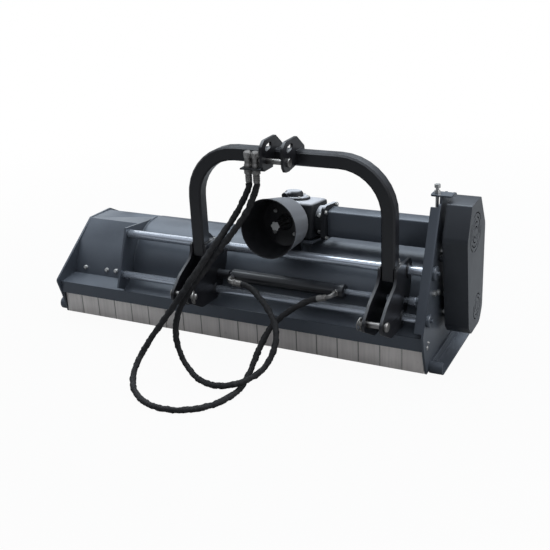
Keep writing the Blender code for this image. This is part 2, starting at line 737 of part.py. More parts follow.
def pto_guard(parent):
    """The fixed guard round the input shaft: an open can bolted to the gearbox's round face."""
    r = PTO_GUARD_REAR_R
    w = PTO_GUARD_WALL
    profile = [(0.030, PTO_REAR), (r - 0.006, PTO_REAR), (r, PTO_REAR - 0.006), (PTO_GUARD_R, PTO_GUARD_FRONT),
               (PTO_GUARD_R - w, PTO_GUARD_FRONT), (r - w, PTO_REAR - 0.008), (r - 0.008, PTO_REAR - w),
               (0.030, PTO_REAR - w)]
    return turned("pto_guard", profile, (GEARBOX_X, 0.0, DRIVE_Z), "Y", "black_plastic", parent, 32)


def spline_outline(root, tip, teeth=6):
    """The end view of a splined shaft."""
    points = []
    for i in range(teeth):
        middle = 360.0 * i / teeth
        points += arc(GEARBOX_X, DRIVE_Z, tip, middle - 13.0, middle + 13.0, 1)
        points += arc(GEARBOX_X, DRIVE_Z, root, middle + 17.0, middle + 360.0 / teeth - 17.0, 1)
    return points


def input_shaft(parent):
    """The splined stub that takes the tractor's drive."""
    mesh = plate_mesh(spline_outline(SPLINE_ROOT_R, INPUT_R), INPUT_END, PTO_REAR - 0.004, "Y")
    shaft = add_object("input_shaft", mesh, "bright_steel", parent, (GEARBOX_X, INPUT_REAR, DRIVE_Z))
    fuse(shaft, rod_mesh(INPUT_R, PTO_REAR - 0.008, INPUT_REAR, (GEARBOX_X, 0.0, DRIVE_Z), "Y"))
    return shaft


def drive_tube(parent):
    """The rectangular tube over the cross shaft, with the bearing boss at its far end."""
    right = DECK_RIGHT - PLATE - GAP
    left = NECK_END + GAP
    y0, y1 = DRIVE_Y - TUBE_HALF_Y, DRIVE_Y + TUBE_HALF_Y
    z0, z1 = DRIVE_Z - TUBE_HALF_Z, DRIVE_Z + TUBE_HALF_Z
    r = 0.006
    outer = rounded([(y0, z0, r), (y1, z0, r), (y1, z1, r), (y0, z1, r)])
    w = TUBE_WALL
    inner = rounded([(y0 + w, z0 + w, 0.002), (y1 - w, z0 + w, 0.002), (y1 - w, z1 - w, 0.002),
                     (y0 + w, z1 - w, 0.002)], 1)
    tube = add_object("drive_tube", plate_mesh(outer, left, right, holes=[inner]), "graphite_paint", parent)
    eye = bore(DRIVE_Y, DRIVE_Z, DRIVE_SHAFT_R + RUN_FIT)
    fuse(tube, plate_mesh(outer, right - 0.010, right, holes=[eye]))
    fuse(tube, plate_mesh(outer, left, left + 0.008, holes=[bore(DRIVE_Y, DRIVE_Z, DRIVE_SHAFT_R + 0.004)]))
    ring = plate_mesh(circle(DRIVE_Y, DRIVE_Z, BOSS_R, 24), right - 0.012, DECK_RIGHT + 0.012, holes=[eye])
    return fuse(tube, ring)


def drive_shaft(parent):
    """The cross shaft from the bevel gears to the upper pulley."""
    end = PULLEY_X + BELTS * BELT_PITCH / 2 + 0.004
    mesh = rod_mesh(DRIVE_SHAFT_R, SHAFT_START, end, (0.0, DRIVE_Y, DRIVE_Z), steps=16)
    return add_object("drive_shaft", mesh, "bright_steel", parent, (SHAFT_START, DRIVE_Y, DRIVE_Z))


def groove_half(depth):
    """Half the width of a groove at a depth below the rim, wider than its belt."""
    fall = (BELT_TOP - BELT_BASE) / 2 / BELT_DEPTH
    return BELT_TOP / 2 - fall * (depth + BELT_RISE) + BELT_FIT


def pulley(parent, name, radius, y, z, shaft_r):
    """A cast pulley with a V groove for each belt and a turned-out web."""
    half = BELTS * BELT_PITCH / 2 + PULLEY_RIM - 0.003
    depth = BELT_DEPTH + 0.002
    profile = [(radius, half)]
    for i in range(BELTS):
        middle = ((BELTS - 1) / 2 - i) * BELT_PITCH
        profile += [(radius, middle + groove_half(0.0)), (radius - depth, middle + groove_half(depth)),
                    (radius - depth, middle - groove_half(depth)), (radius, middle - groove_half(0.0))]
    web = radius - depth - 0.006
    hub = shaft_r + 0.012
    eye = (shaft_r + GAP) / math.cos(math.pi / 24)
    profile += [(radius, -half), (web, -half), (web, -half + 0.010), (hub, -half + 0.010), (hub, -half),
                (eye, -half), (eye, half), (hub, half), (hub, half - 0.014),
                (web, half - 0.014), (web, half)]
    return turned(name, profile, (PULLEY_X, y, z), "X", "cast_iron", parent, 24)


def belt_line(offset, steps=14):
    """A closed line round both pulleys, at an offset from their rims, and its straight runs."""
    along = Vector((ROTOR_Y - DRIVE_Y, ROTOR_Z - DRIVE_Z))
    heading = math.degrees(math.atan2(along.y, along.x))
    lean = math.degrees(math.asin((UPPER_PULLEY_R - LOWER_PULLEY_R) / along.length))
    top = arc(DRIVE_Y, DRIVE_Z, UPPER_PULLEY_R + offset, heading + 90.0 - lean, heading + 270.0 + lean, steps)
    low = arc(ROTOR_Y, ROTOR_Z, LOWER_PULLEY_R + offset, heading - 90.0 + lean, heading + 90.0 - lean, steps)
    return top + low


def v_belt(parent, index):
    """One V belt: a band of four-sided section, narrower inside, closed round both pulleys."""
    x = PULLEY_X + (index - (BELTS - 1) / 2) * BELT_PITCH
    rings = []
    for (y1, z1), (y2, z2) in zip(belt_line(BELT_RISE), belt_line(BELT_RISE - BELT_DEPTH)):
        rings.append([(x - BELT_TOP / 2, y1, z1), (x + BELT_TOP / 2, y1, z1),
                      (x + BELT_BASE / 2, y2, z2), (x - BELT_BASE / 2, y2, z2)])
    return add_object(f"v_belt_{index + 1}", swept_mesh(rings, closed=True), "rubber", parent)


def guard_outline(inset=0.0):
    """End view of the belt guard: narrow on top, wide at the upper pulley, round at the foot."""
    corners = [
        (DRIVE_Y - 0.060, DRIVE_Z + GUARD_HEAD, 0.008), (DRIVE_Y + 0.060, DRIVE_Z + GUARD_HEAD, 0.012),
        (DRIVE_Y + 0.135, DRIVE_Z + 0.012, 0.040), (ROTOR_Y + 0.078, ROTOR_Z - 0.030, 0.050),
        (ROTOR_Y + 0.045, ROTOR_Z - 0.082, 0.040), (ROTOR_Y - 0.075, ROTOR_Z - 0.082, 0.025),
        (ROTOR_Y - 0.110, ROTOR_Z - 0.045, 0.030), (DRIVE_Y - 0.106, DRIVE_Z + 0.012, 0.050)]
    ring = rounded(corners, 4)
    if inset:
        middle_y = sum(p[0] for p in ring) / len(ring)
        middle_z = sum(p[1] for p in ring) / len(ring)
        ring = [inward(p, (middle_y, middle_z), inset) for p in ring]
    return ring


def inward(point, middle, inset):
    away = Vector(point) - Vector(middle)
    return tuple(Vector(middle) + away * (1.0 - inset / away.length))


def belt_guard_backplate(parent):
    """The guard's inner plate on its four spacers, open round both shafts."""
    outline = guard_outline()
    holes = [bore(DRIVE_Y, DRIVE_Z, BOSS_R + 0.004), bore(ROTOR_Y, ROTOR_Z, 0.034)]
    mesh = plate_mesh(outline, GUARD_BACK, GUARD_BACK + GUARD_PLATE, holes=holes)
    back = add_object("belt_guard_backplate", mesh, "guard_grey", parent)
    places = [(DRIVE_Y - 0.062, DRIVE_Z - 0.072), (DRIVE_Y + 0.080, DRIVE_Z + 0.010),
              (ROTOR_Y - 0.075, ROTOR_Z + 0.060), (ROTOR_Y + 0.052, ROTOR_Z + 0.060)]
    spacers = [rod_mesh(0.009, DECK_RIGHT + GAP, GUARD_BACK + 0.001, (0.0, y, z), steps=12) for y, z in places]
    return fuse(back, merged(spacers))


def vent(y, z, radius, rings, start):
    """Concentric rows of curved slots, cut through the guard's face."""
    slots = []
    for ring in range(rings):
        r = radius * (ring + 1.2) / (rings + 0.4)
        half_width = 0.0022
        for quarter in range(3 if ring else 2):
            span = 360.0 / (3 if ring else 2)
            a0 = start + 40.0 * ring + quarter * span
            a1 = a0 + span - math.degrees(0.016 / r) - 6.0
            outline = arc(y, z, r + half_width, a0, a1, 4) + arc(y, z, r - half_width, a1, a0, 4)
            slots.append(outline)
    return slots


def belt_guard_cover(parent):
    """The pressed cover over the belts: a shallow box with vents at both pulleys."""
    ring = guard_outline()
    inner = guard_outline(GUARD_WALL)
    wall = plate_mesh(ring, GUARD_BACK + GUARD_PLATE + GAP, GUARD_OUT - GUARD_WALL / 2, holes=[inner])
    cover = add_object("belt_guard_cover", wall, "guard_grey", parent)
    holes = vent(DRIVE_Y, DRIVE_Z + VENT_RISE, 0.074, 4, 20.0) + vent(ROTOR_Y - 0.004, ROTOR_Z, 0.050, 3, 80.0)
    return fuse(cover, plate_mesh(ring, GUARD_OUT - GUARD_WALL, GUARD_OUT, holes=holes))


def tensioner_screw(parent):
    """The belt tension screw: hexagon head and lock nut on a rod that bears on the drive tube."""
    x, y = SCREW
    tab_top = RIGHT_TOP + 0.028
    low = DRIVE_Z + TUBE_HALF_Z + GAP
    mesh = rod_mesh(SCREW_R, low, tab_top + 0.030, (x, y, 0.0), "Z", 12)
    screw = add_object("tensioner_screw", mesh, "bright_steel", parent, (x, y, tab_top))
    fuse(screw, plate_mesh(hex_outline(x, y, 0.019), tab_top + GAP, tab_top + 0.010, "Z"))
    return fuse(screw, plate_mesh(hex_outline(x, y, 0.019), tab_top + 0.020, tab_top + 0.032, "Z"))


# Rotor

def hammer_places():
    """Each hammer's place along the rotor and its angle, in a double spiral."""
    first = DECK_LEFT + PLATE + 0.055
    pitch = (DECK_RIGHT - PLATE - 0.055 - first) / (HAMMER_COUNT - 1)
    for i in range(HAMMER_COUNT):
        yield first + i * pitch, 180.0 * (i % 2) + 22.5 * i


def hammer_mesh():
    """A forged hammer, its eye at the origin and its head towards +Z, before it is placed."""
    half = HAMMER_WIDTH / 2
    shank = LUG_GAP / 2 - 0.0006
    reach = HAMMER_TIP_R - HAMMER_EYE_R
    front = [(-shank, -0.014), (shank, -0.014), (shank, reach * 0.35), (half, reach * 0.72), (half, reach),
             (-half, reach), (-half, reach * 0.72), (-shank, reach * 0.35)]
    mesh = plate_mesh(front, -0.011, 0.013, "Y")
    for vert in mesh.vertices:
        if vert.co.z > reach * 0.8 and vert.co.y < 0.0:
            vert.co.y -= 0.010
    return mesh


def lug_mesh(x):
    outline = arc(0.0, HAMMER_EYE_R, 0.017, 0.0, 180.0, 3) + [(-0.026, ROTOR_TUBE_R - 0.010),
                                                               (0.026, ROTOR_TUBE_R - 0.010)]
    return plate_mesh(outline, x - LUG_T / 2, x + LUG_T / 2)


def rotor(parent):
    """The rotor: tube, stub shafts, and hammers between pairs of welded lugs."""
    inner = DECK_RIGHT - PLATE - 0.010
    start = DECK_LEFT + PLATE + 0.010
    left = DECK_LEFT - 0.036
    right = PULLEY_X + BELTS * BELT_PITCH / 2 + 0.004
    r = ROTOR_SHAFT_R
    profile = [(0.0, right), (r, right), (r, inner), (ROTOR_TUBE_R, inner),
               (ROTOR_TUBE_R, start), (r, start), (r, left), (0.0, left)]
    tube = turned("rotor", profile, (0.0, ROTOR_Y, ROTOR_Z), "X", "roller_steel", parent, 16)
    lugs = []
    hammers = []
    for x, angle in hammer_places():
        place = Matrix.Translation((0.0, ROTOR_Y, ROTOR_Z)) @ Matrix.Rotation(math.radians(angle), 4, "X")
        for side in (-1.0, 1.0):
            lug = lug_mesh(x + side * (LUG_GAP + LUG_T) / 2)
            lug.transform(place)
            lugs.append(lug)
        hammer = hammer_mesh()
        hammer.transform(place @ Matrix.Translation((x, 0.0, HAMMER_EYE_R)))
        hammers.append(hammer)
        bolt = rod_mesh(0.007, x - LUG_GAP / 2 - LUG_T - 0.006, x + LUG_GAP / 2 + LUG_T + 0.006,
                        (0.0, 0.0, HAMMER_EYE_R), steps=6)
        bolt.transform(place)
        hammers.append(bolt)
    fuse(tube, merged(lugs))
    fuse(tube, merged([h for i, h in enumerate(hammers) if i % 2 == 0]))
    fuse(tube, merged([h for i, h in enumerate(hammers) if i % 2 == 1]))
    return tube


def bearing(parent, name, face, out):
    """A flanged bearing housing bolted on the outside of a side plate."""
    flange = 0.012
    hub = 0.028
    lo, hi = sorted((face + out * GAP, face + out * flange))
    corners = [(ROTOR_Y - 0.048, ROTOR_Z - 0.048, 0.012), (ROTOR_Y + 0.048, ROTOR_Z - 0.048, 0.012),
               (ROTOR_Y + 0.048, ROTOR_Z + 0.048, 0.012), (ROTOR_Y - 0.048, ROTOR_Z + 0.048, 0.012)]
    eye = bore(ROTOR_Y, ROTOR_Z, ROTOR_SHAFT_R + RUN_FIT)
    housing = add_object(name, plate_mesh(rounded(corners), lo, hi, holes=[eye]), "cast_iron", parent)
    lo, hi = sorted((face + out * (flange - 0.003), face + out * hub))
    fuse(housing, plate_mesh(circle(ROTOR_Y, ROTOR_Z, 0.031, 20), lo, hi, holes=[eye]))
    places = [(ROTOR_Y + sy * 0.036, ROTOR_Z + sz * 0.036) for sy in (-1, 1) for sz in (-1, 1)]
    if out < 0.0:
        fuse(housing, merged(bolt_row(places, face - flange, 0.013, 0.007, out)))
    return housing


# Rear

def rear_roller(parent):
    """The full-width support roller with its stub axles."""
    far = PLATE + BRACKET + 0.004
    right, left = DECK_RIGHT - far, DECK_LEFT + far
    stub_right, stub_left = DECK_RIGHT - PLATE - 0.001, DECK_LEFT + PLATE + 0.001
    r = ROLLER_R
    s = ROLLER_STUB_R
    profile = [(0.0, stub_right), (s, stub_right), (s, right), (r - 0.004, right), (r, right - 0.004),
               (r, left + 0.004), (r - 0.004, left), (s, left), (s, stub_left), (0.0, stub_left)]
    return turned("rear_roller", profile, (0.0, ROLLER_Y, ROLLER_R), "X", "roller_steel", parent, 36)


def roller_bracket(parent, name, side):
    """The bolted arm that holds one end of the roller, with its row of height holes."""
    face = DECK_RIGHT - PLATE - GAP if side > 0.0 else DECK_LEFT + PLATE + GAP
    lo, hi = sorted((face, face - side * BRACKET))
    outline = rounded([(ROLLER_Y - 0.024, ROLLER_R - 0.030, 0.012), (ROLLER_Y + 0.026, ROLLER_R - 0.030, 0.024),
                       (ROLLER_Y + 0.030, ROLLER_R + 0.026, 0.020), (PLATE_REAR - 0.010, 0.215, 0.014),
                       (PLATE_REAR - 0.052, 0.215, 0.014), (PLATE_REAR - 0.045, 0.110, 0.030)])
    holes = [bore(ROLLER_Y, ROLLER_R, ROLLER_STUB_R + RUN_FIT)]
    holes += [circle(PLATE_REAR - 0.030 + 0.004 * i, 0.196 - 0.026 * i, 0.0055, 12) for i in range(3)]
    return add_object(name, plate_mesh(outline, lo, hi, holes=holes), "graphite_paint", parent)


def rear_door(parent):
    """The hinged rear door: a curved sheet on a hinge tube whose stubs sit in the side plates."""
    left = DECK_LEFT + PLATE + 0.012
    right = DECK_RIGHT - PLATE - 0.012
    tube = add_object("rear_door", rod_mesh(0.010, left, right, (0.0, DOOR_Y, DOOR_Z)),
                      "graphite_paint", parent, (0.0, DOOR_Y, DOOR_Z))
    outer = arc(DOOR_Y - 0.160, DOOR_Z - 0.085, 0.190, 29.0, -30.0, 10)
    inner = arc(DOOR_Y - 0.160, DOOR_Z - 0.085, 0.186, -30.0, 29.0, 10)
    fuse(tube, plate_mesh(outer + inner, left, right))
    pin = rod_mesh(0.006, DECK_LEFT - 0.004, DECK_RIGHT + 0.004, (0.0, DOOR_Y, DOOR_Z), steps=8)
    return fuse(tube, pin)


def skid(parent, name, side):
    """A skid shoe: a strip curled up in front, with an upright flange on the side plate."""
    face = DECK_RIGHT if side > 0.0 else DECK_LEFT
    inner = face + side * GAP
    lo, hi = sorted((inner, face + side * SKID_OUT))
    bend = 0.026
    top = arc(SKID_FRONT, bend, bend, 270.0, 110.0, 10)
    under = arc(SKID_FRONT, bend, bend - SKID_T, 110.0, 270.0, 10)
    strip = top[::-1] + [(SKID_REAR, 0.0), (SKID_REAR + 0.012, 0.010), (SKID_REAR + 0.012, 0.010 + SKID_T),
                         (SKID_REAR, SKID_T)] + under[::-1]
    shoe = add_object(name, plate_mesh(strip, lo, hi), "black_paint", parent)
    lo, hi = sorted((inner, inner + side * SKID_T))
    flange = rounded([(SKID_FRONT, 0.002, 0.0), (SKID_REAR - 0.01, 0.002, 0.0), (SKID_REAR - 0.01, 0.046, 0.016),
                      (SKID_FRONT, 0.046, 0.016)])
    fuse(shoe, plate_mesh(flange, lo, hi))
    heads = bolt_row([(SKID_FRONT + 0.030, 0.031), (SKID_REAR - 0.045, 0.031)], inner + side * SKID_T,
                     0.015, 0.009, side)
    return fuse(shoe, merged(heads))


# Hitch, in its own frame: X = 0 is the middle of the hitch

def hitch_arch(parent):
    """The bent square tube with the top-link lugs and the coupler holder welded on."""
    half = TUBE / 2
    bend = FORK_HALF - ARCH_BEND
    path = [(-FORK_HALF, LEG_BOTTOM, 180.0)]
    for turn in (-1.0, 1.0):
        start = 180.0 if turn < 0.0 else 90.0
        for i in range(ARCH_STEPS + 1):
            angle = start - 90.0 * i / ARCH_STEPS
            x = turn * bend + ARCH_BEND * math.cos(math.radians(angle))
            z = ARCH_Z - ARCH_BEND + ARCH_BEND * math.sin(math.radians(angle))
            path.append((x, z, angle))
    path.append((FORK_HALF, LEG_BOTTOM, 0.0))
    section = rounded([(-half, -half, TUBE_EDGE), (half, -half, TUBE_EDGE),
                       (half, half, TUBE_EDGE), (-half, half, TUBE_EDGE)], 1)
    rings = []
    for x, z, angle in path:
        out_x, out_z = math.cos(math.radians(angle)), math.sin(math.radians(angle))
        rings.append([(x + out_x * a, ARCH_Y + b, z + out_z * a) for a, b in section])
    arch = add_object("hitch_arch", swept_mesh(rings), "black_paint", parent)
    ear = rounded([
        (-0.150, LINK_Z - 0.010, 0.012), (-0.137, LINK_Z - 0.029, 0.010), (-0.108, LINK_Z - 0.031, 0.014),
        (-0.060, ARCH_Z - 0.022, 0.0), (-0.010, ARCH_Z - 0.010, 0.0), (0.006, ARCH_Z - 0.004, 0.0),
        (0.020, ARCH_Z + 0.012, 0.004), (0.018, ARCH_Z + 0.030, 0.006), (-0.040, ARCH_Z + 0.075, 0.008),
        (-0.128, ARCH_Z + 0.075, 0.014), (-0.152, ARCH_Z + 0.056, 0.012)])
    holes = [bore(LINK_Y, LINK_Z, LINK_R + PIN_FIT, 12), slot(-0.098, LINK_Z + 0.046, 0.050, 0.021, 12.0)]
    lugs = [plate_mesh(ear, side_x * LUG_HALF - LINK_LUG / 2, side_x * LUG_HALF + LINK_LUG / 2, holes=holes)
            for side_x in (-1.0, 1.0)]
    fuse(arch, merged(lugs))
    x0 = COUPLER_X[0] - HITCH_X - 0.021
    x1 = -LUG_HALF - LINK_LUG / 2 + 0.002
    low = HOLDER_Z - HOLDER_T
    front = COUPLER_Y - 0.022
    rear = ARCH_Y - half + 0.001
    holder = [(front, low), (rear, low), (rear, ARCH_Z), (rear - HOLDER_T, ARCH_Z),
              (rear - HOLDER_T, HOLDER_Z), (front, HOLDER_Z)]
    fuse(arch, plate_mesh(holder, x0, x1))
    seats = [bore_mesh(COUPLER_NECK + GAP, low - 0.01, HOLDER_Z + 0.01, (x - HITCH_X, COUPLER_Y, 0.0), "Z", 12)
             for x in COUPLER_X]
    return cut(arch, merged(seats))


def fork_outline():
    """The side view of a fork plate: tube seat, both bushes and the nose for the lower link."""
    nose = [(y, z, 0.0) for y, z in arc(PIN_Y, PIN_Z, FORK_NOSE_R, 118.0, 258.0, 6)]
    return rounded([
        (ARCH_Y - 0.027, 0.418, 0.008), (ARCH_Y - 0.027, 0.372, 0.030), (PIN_Y + 0.030, PIN_Z + 0.062, 0.050),
        *nose, (PIN_Y + 0.070, PIN_Z - 0.074, 0.030), (LOWER_Y + 0.004, LOWER_Z - 0.036, 0.020),
        (LOWER_Y + 0.036, LOWER_Z - 0.012, 0.030), (UPPER_Y + 0.022, UPPER_Z - 0.070, 0.040),
        (UPPER_Y + 0.036, UPPER_Z - 0.020, 0.030), (UPPER_Y + 0.034, UPPER_Z + 0.040, 0.022),
        (UPPER_Y - 0.040, 0.418, 0.008)], 1)


def fork(parent, name, side):
    """Two plates on the leg, joined by the bushes that slide on the bars."""
    centre = side * FORK_HALF
    near = centre - TUBE / 2 - GAP
    far = centre + TUBE / 2 + GAP
    upper = bore(UPPER_Y, UPPER_Z, UPPER_R + SLIDE_FIT)
    lower = bore(LOWER_Y, LOWER_Z, LOWER_R + SLIDE_FIT)
    window = bore(CYL_Y, CYL_Z, ROD_CYL_R + 0.006, 10)
    holes = [upper, lower, window, bore(PIN_Y, PIN_Z, PIN_R + PIN_FIT, 12)]
    outline = fork_outline()
    plates = plate_mesh(outline, near - FORK_PLATE, near, holes=holes)
    frame = add_object(name, plates, "black_paint", parent)
    fuse(frame, plate_mesh(outline, far, far + FORK_PLATE, holes=holes))
    stand = 0.004
    lo, hi = near - FORK_PLATE - stand, far + FORK_PLATE + stand
    fuse(frame, plate_mesh(circle(UPPER_Y, UPPER_Z, UPPER_BUSH_R, 16), lo, hi, holes=[upper]))
    return fuse(frame, plate_mesh(circle(LOWER_Y, LOWER_Z, LOWER_BUSH_R, 16), lo, hi, holes=[lower]))


def hitch_pin(parent, name, side):
    """A lower-link pin with its flat head outside, and the linch pin through its inner end."""
    centre = side * FORK_HALF
    plate_out = TUBE / 2 + GAP + FORK_PLATE
    head = plate_out + 0.004 + GAP
    end = plate_out + 0.022
    profile = [(0.0, head + 0.008), (0.015, head + 0.008), (0.017, head + 0.006), (0.017, head),
               (PIN_R, head), (PIN_R, -end + 0.004), (PIN_R - 0.004, -end), (0.0, -end)]
    pin = turned(name, profile, (centre, PIN_Y, PIN_Z), "X", "bright_steel", parent, 14)
    pin.rotation_euler = (0.0, side * math.pi / 2, 0.0)
    x = centre - side * (end - 0.010)
    y = PIN_Y - 0.004
    fuse(pin, tube_mesh([(x, y, PIN_Z - 0.026), (x, y, PIN_Z + 0.022)], 0.0045, 1))
    bow = [(x - side * 0.006 * math.sin(t), y - 0.024 * math.sin(t), PIN_Z - 0.001 + 0.0205 * math.cos(t))
           for t in (math.radians(10.0 + 32.0 * k) for k in range(6))]
    return fuse(pin, tube_mesh([(x, y, bow[0][2]), *bow, (x, y, bow[-1][2])], 0.0022, 1))


def top_link_pin(parent):
    """The top-link pin through both lugs, with a head on one side and a clip on the other."""
    out = LUG_HALF + LINK_LUG / 2
    head = out + GAP
    end = out + 0.018
    profile = [(0.0, head + 0.007), (0.014, head + 0.007), (0.015, head + 0.005), (0.015, head),
               (LINK_R, head), (LINK_R, -end + 0.003), (LINK_R - 0.003, -end), (0.0, -end)]
    pin = turned("top_link_pin", profile, (0.0, LINK_Y, LINK_Z), "X", "bright_steel", parent, 14)
    x = -end + 0.008
    clip = tube_mesh([(x, LINK_Y - 0.003, LINK_Z - 0.018), (x, LINK_Y + 0.003, LINK_Z + 0.018)], 0.0035, 1)
    return fuse(pin, clip)


def port_mouth(port, way, tilt):
    """The free end of a port's ferrule, and the direction in which its hose leaves."""
    lean = math.radians(tilt)
    heading = Vector((way * math.cos(lean), 0.0, -math.sin(lean)))
    return Vector((port, PORT_OUT, CYL_Z)) + heading * PORT_RUN, heading


def cylinder_barrel(parent):
    """The side-shift cylinder's barrel, its foot on the fork, with both elbows for the hoses."""
    start = BARREL_START - HITCH_X
    end = BARREL_END - HITCH_X
    foot = -FORK_HALF + TUBE / 2 + 2 * GAP + FORK_PLATE
    r = BARREL_R
    gland = (ROD_CYL_R + RUN_FIT) / math.cos(math.pi / 20)
    profile = [(gland, end), (r - 0.004, end), (r + 0.002, end - 0.004), (r + 0.002, end - 0.030),
               (r, end - 0.032), (r, start), (0.012, start), (0.012, start - 0.012), (0.018, start - 0.014),
               (0.018, foot), (0.0, foot)]
    inside = [(0.0, start + 0.012), (BORE_R, start + 0.012), (BORE_R, end - 0.026),
              (gland, end - 0.026), (gland, end + 0.01), (0.0, end + 0.01)]
    outside = [(0.0, end)] + profile[1:]
    barrel = turned("cylinder_barrel", outside, (0.0, CYL_Y, CYL_Z), "X", "black_paint", parent)
    for port in (LEFT_PORT, RIGHT_PORT):
        x = port[0] - HITCH_X
        mouth, heading = port_mouth(*port)
        mouth.x -= HITCH_X
        bend = 0.014
        turn = mouth - heading * PORT_RUN
        elbow = [Vector((x, CYL_Y - r + 0.003, CYL_Z)), Vector((x, PORT_OUT + bend, CYL_Z))]
        elbow += [turn + heading * bend * (1 - math.cos(t)) + Vector((0.0, bend - bend * math.sin(t), 0.0))
                  for t in (math.radians(30.0), math.radians(60.0), math.radians(90.0))]
        elbow.append(mouth - heading * 0.020)
        fuse(barrel, tube_mesh(elbow, 0.0085, 1))
        fuse(barrel, tube_mesh([mouth - heading * 0.026, mouth], 0.0118, 1))
        fuse(barrel, rod_mesh(0.013, CYL_Y - r - 0.006, CYL_Y - r + 0.0045, (x, 0.0, CYL_Z), "Y", 6))
    return cut(barrel, turned_tool(barrel, inside[::-1], (0.0, CYL_Y, CYL_Z), "X"))


def cylinder_rod(parent):
    """The chromed rod: piston inside the barrel, threaded end and nuts at the anchor."""
    end = ANCHOR_X + 0.012 - GAP
    piston = BORE_R * math.cos(math.pi / 20) - RUN_FIT
    profile = [(0.0, end), (0.016, end), (0.016, end - 0.014), (ROD_CYL_R + 0.004, end - 0.016),
               (ROD_CYL_R + 0.004, end - 0.026), (ROD_CYL_R, end - 0.028), (ROD_CYL_R, PISTON_X + 0.025),
               (piston, PISTON_X + 0.025), (piston, PISTON_X), (0.0, PISTON_X)]
    return turned("cylinder_rod", profile, (0.0, CYL_Y, CYL_Z), "X", "chrome", parent, 20)


# Hoses and couplers

# Each route in the source's frame: down from its coupler, past the nose of the far fork,
# round on the ground in front of the flaps and up to a port of the cylinder.
HOSE_A_ROUTE = [
    (0.174, -0.099, 0.655), (0.147, -0.112, 0.598), (0.109, -0.146, 0.528), (0.071, -0.200, 0.460),
    (0.032, -0.248, 0.390), (-0.012, -0.280, 0.316), (-0.061, -0.303, 0.242), (-0.112, -0.326, 0.168),
    (-0.153, -0.362, 0.093), (-0.149, -0.432, 0.038), (-0.091, -0.500, 0.018), (-0.008, -0.541, 0.013),
    (0.084, -0.541, 0.013), (0.164, -0.496, 0.013), (0.213, -0.418, 0.013), (0.228, -0.327, 0.016),
    (0.226, -0.240, 0.046), (0.233, -0.171, 0.108), (0.258, -0.107, 0.170), (0.319, -0.058, 0.222),
    (0.372, -0.038, 0.250)]
HOSE_B_ROUTE = [
    (0.206, -0.099, 0.657), (0.186, -0.111, 0.606), (0.158, -0.132, 0.553), (0.118, -0.163, 0.493),
    (0.078, -0.194, 0.435), (0.038, -0.223, 0.374), (-0.003, -0.248, 0.312), (-0.039, -0.262, 0.244),
    (-0.059, -0.269, 0.169), (-0.050, -0.274, 0.092), (-0.006, -0.292, 0.034), (0.061, -0.326, 0.014),
    (0.136, -0.348, 0.018), (0.212, -0.353, 0.038), (0.270, -0.312, 0.058), (0.301, -0.252, 0.091),
    (0.310, -0.202, 0.149), (0.280, -0.149, 0.197), (0.227, -0.103, 0.230), (0.167, -0.060, 0.254),
    (0.122, -0.037, 0.270)]


def smooth_route(route, spacing):
    """Evenly spaced points of a smooth curve through the route's points."""
    pts = [Vector(p) for p in route]
    dense = []
    for i in range(len(pts) - 1):
        p0 = pts[max(i - 1, 0)]
        p1, p2 = pts[i], pts[i + 1]
        p3 = pts[min(i + 2, len(pts) - 1)]
        for k in range(12):
            t = k / 12.0
            dense.append(0.5 * (2 * p1 + (p2 - p0) * t + (2 * p0 - 5 * p1 + 4 * p2 - p3) * t * t
                                + (3 * p1 - 3 * p2 + p3 - p0) * t ** 3))
    dense.append(pts[-1])
    length = sum((b - a).length for a, b in zip(dense, dense[1:]))
    count = round(length / spacing)
    points = [dense[0]]
    walked = 0.0
    for a, b in zip(dense, dense[1:]):
        step = (b - a).length
        while len(points) < count and walked + step >= len(points) * length / count:
            share = (len(points) * length / count - walked) / step
            points.append(a.lerp(b, share))
        walked += step
    points.append(dense[-1])
    return points


def hose(parent, name, start_x, route, port):
    """A free hose as one round tube along its route, square to both ferrules."""
    mouth, heading = port_mouth(*port)
    first = Vector((start_x, COUPLER_Y, FERRULE_END))
    down = Vector((0.0, 0.0, -1.0))
    points = smooth_route([first, *route, mouth], 4.6 * HOSE_R)
    points = [first + down * GAP, first + down * 0.010] + points[1:-1]
    points += [mouth + heading * 0.010, mouth + heading * GAP]
    mesh = tube_mesh([(p.x - HITCH_X, p.y, p.z) for p in points], HOSE_R, 2)
    return add_object(name, mesh, "hose_sleeve", parent)


def coupler(parent, name, x):
    """A parked quick coupler with its dust cap, nut and crimped ferrule."""
    z = HOLDER_Z
    profile = [(0.0, z + 0.056), (0.010, z + 0.056), (0.0135, z + 0.051), (0.0135, z + 0.034), (0.0120, z + 0.032),
               (0.0120, z + 0.012), (0.0140, z + 0.010), (0.0140, z + GAP), (COUPLER_NECK, z + GAP),
               (COUPLER_NECK, z - HOLDER_T - GAP), (0.0145, z - HOLDER_T - GAP), (0.0145, z - 0.022), (0.0115, z - 0.024),
               (0.0115, FERRULE_END + 0.001), (0.0105, FERRULE_END), (0.0, FERRULE_END)]
    return turned(name, profile, (x - HITCH_X, COUPLER_Y, 0.0), "Z", "bright_steel", parent, 12)


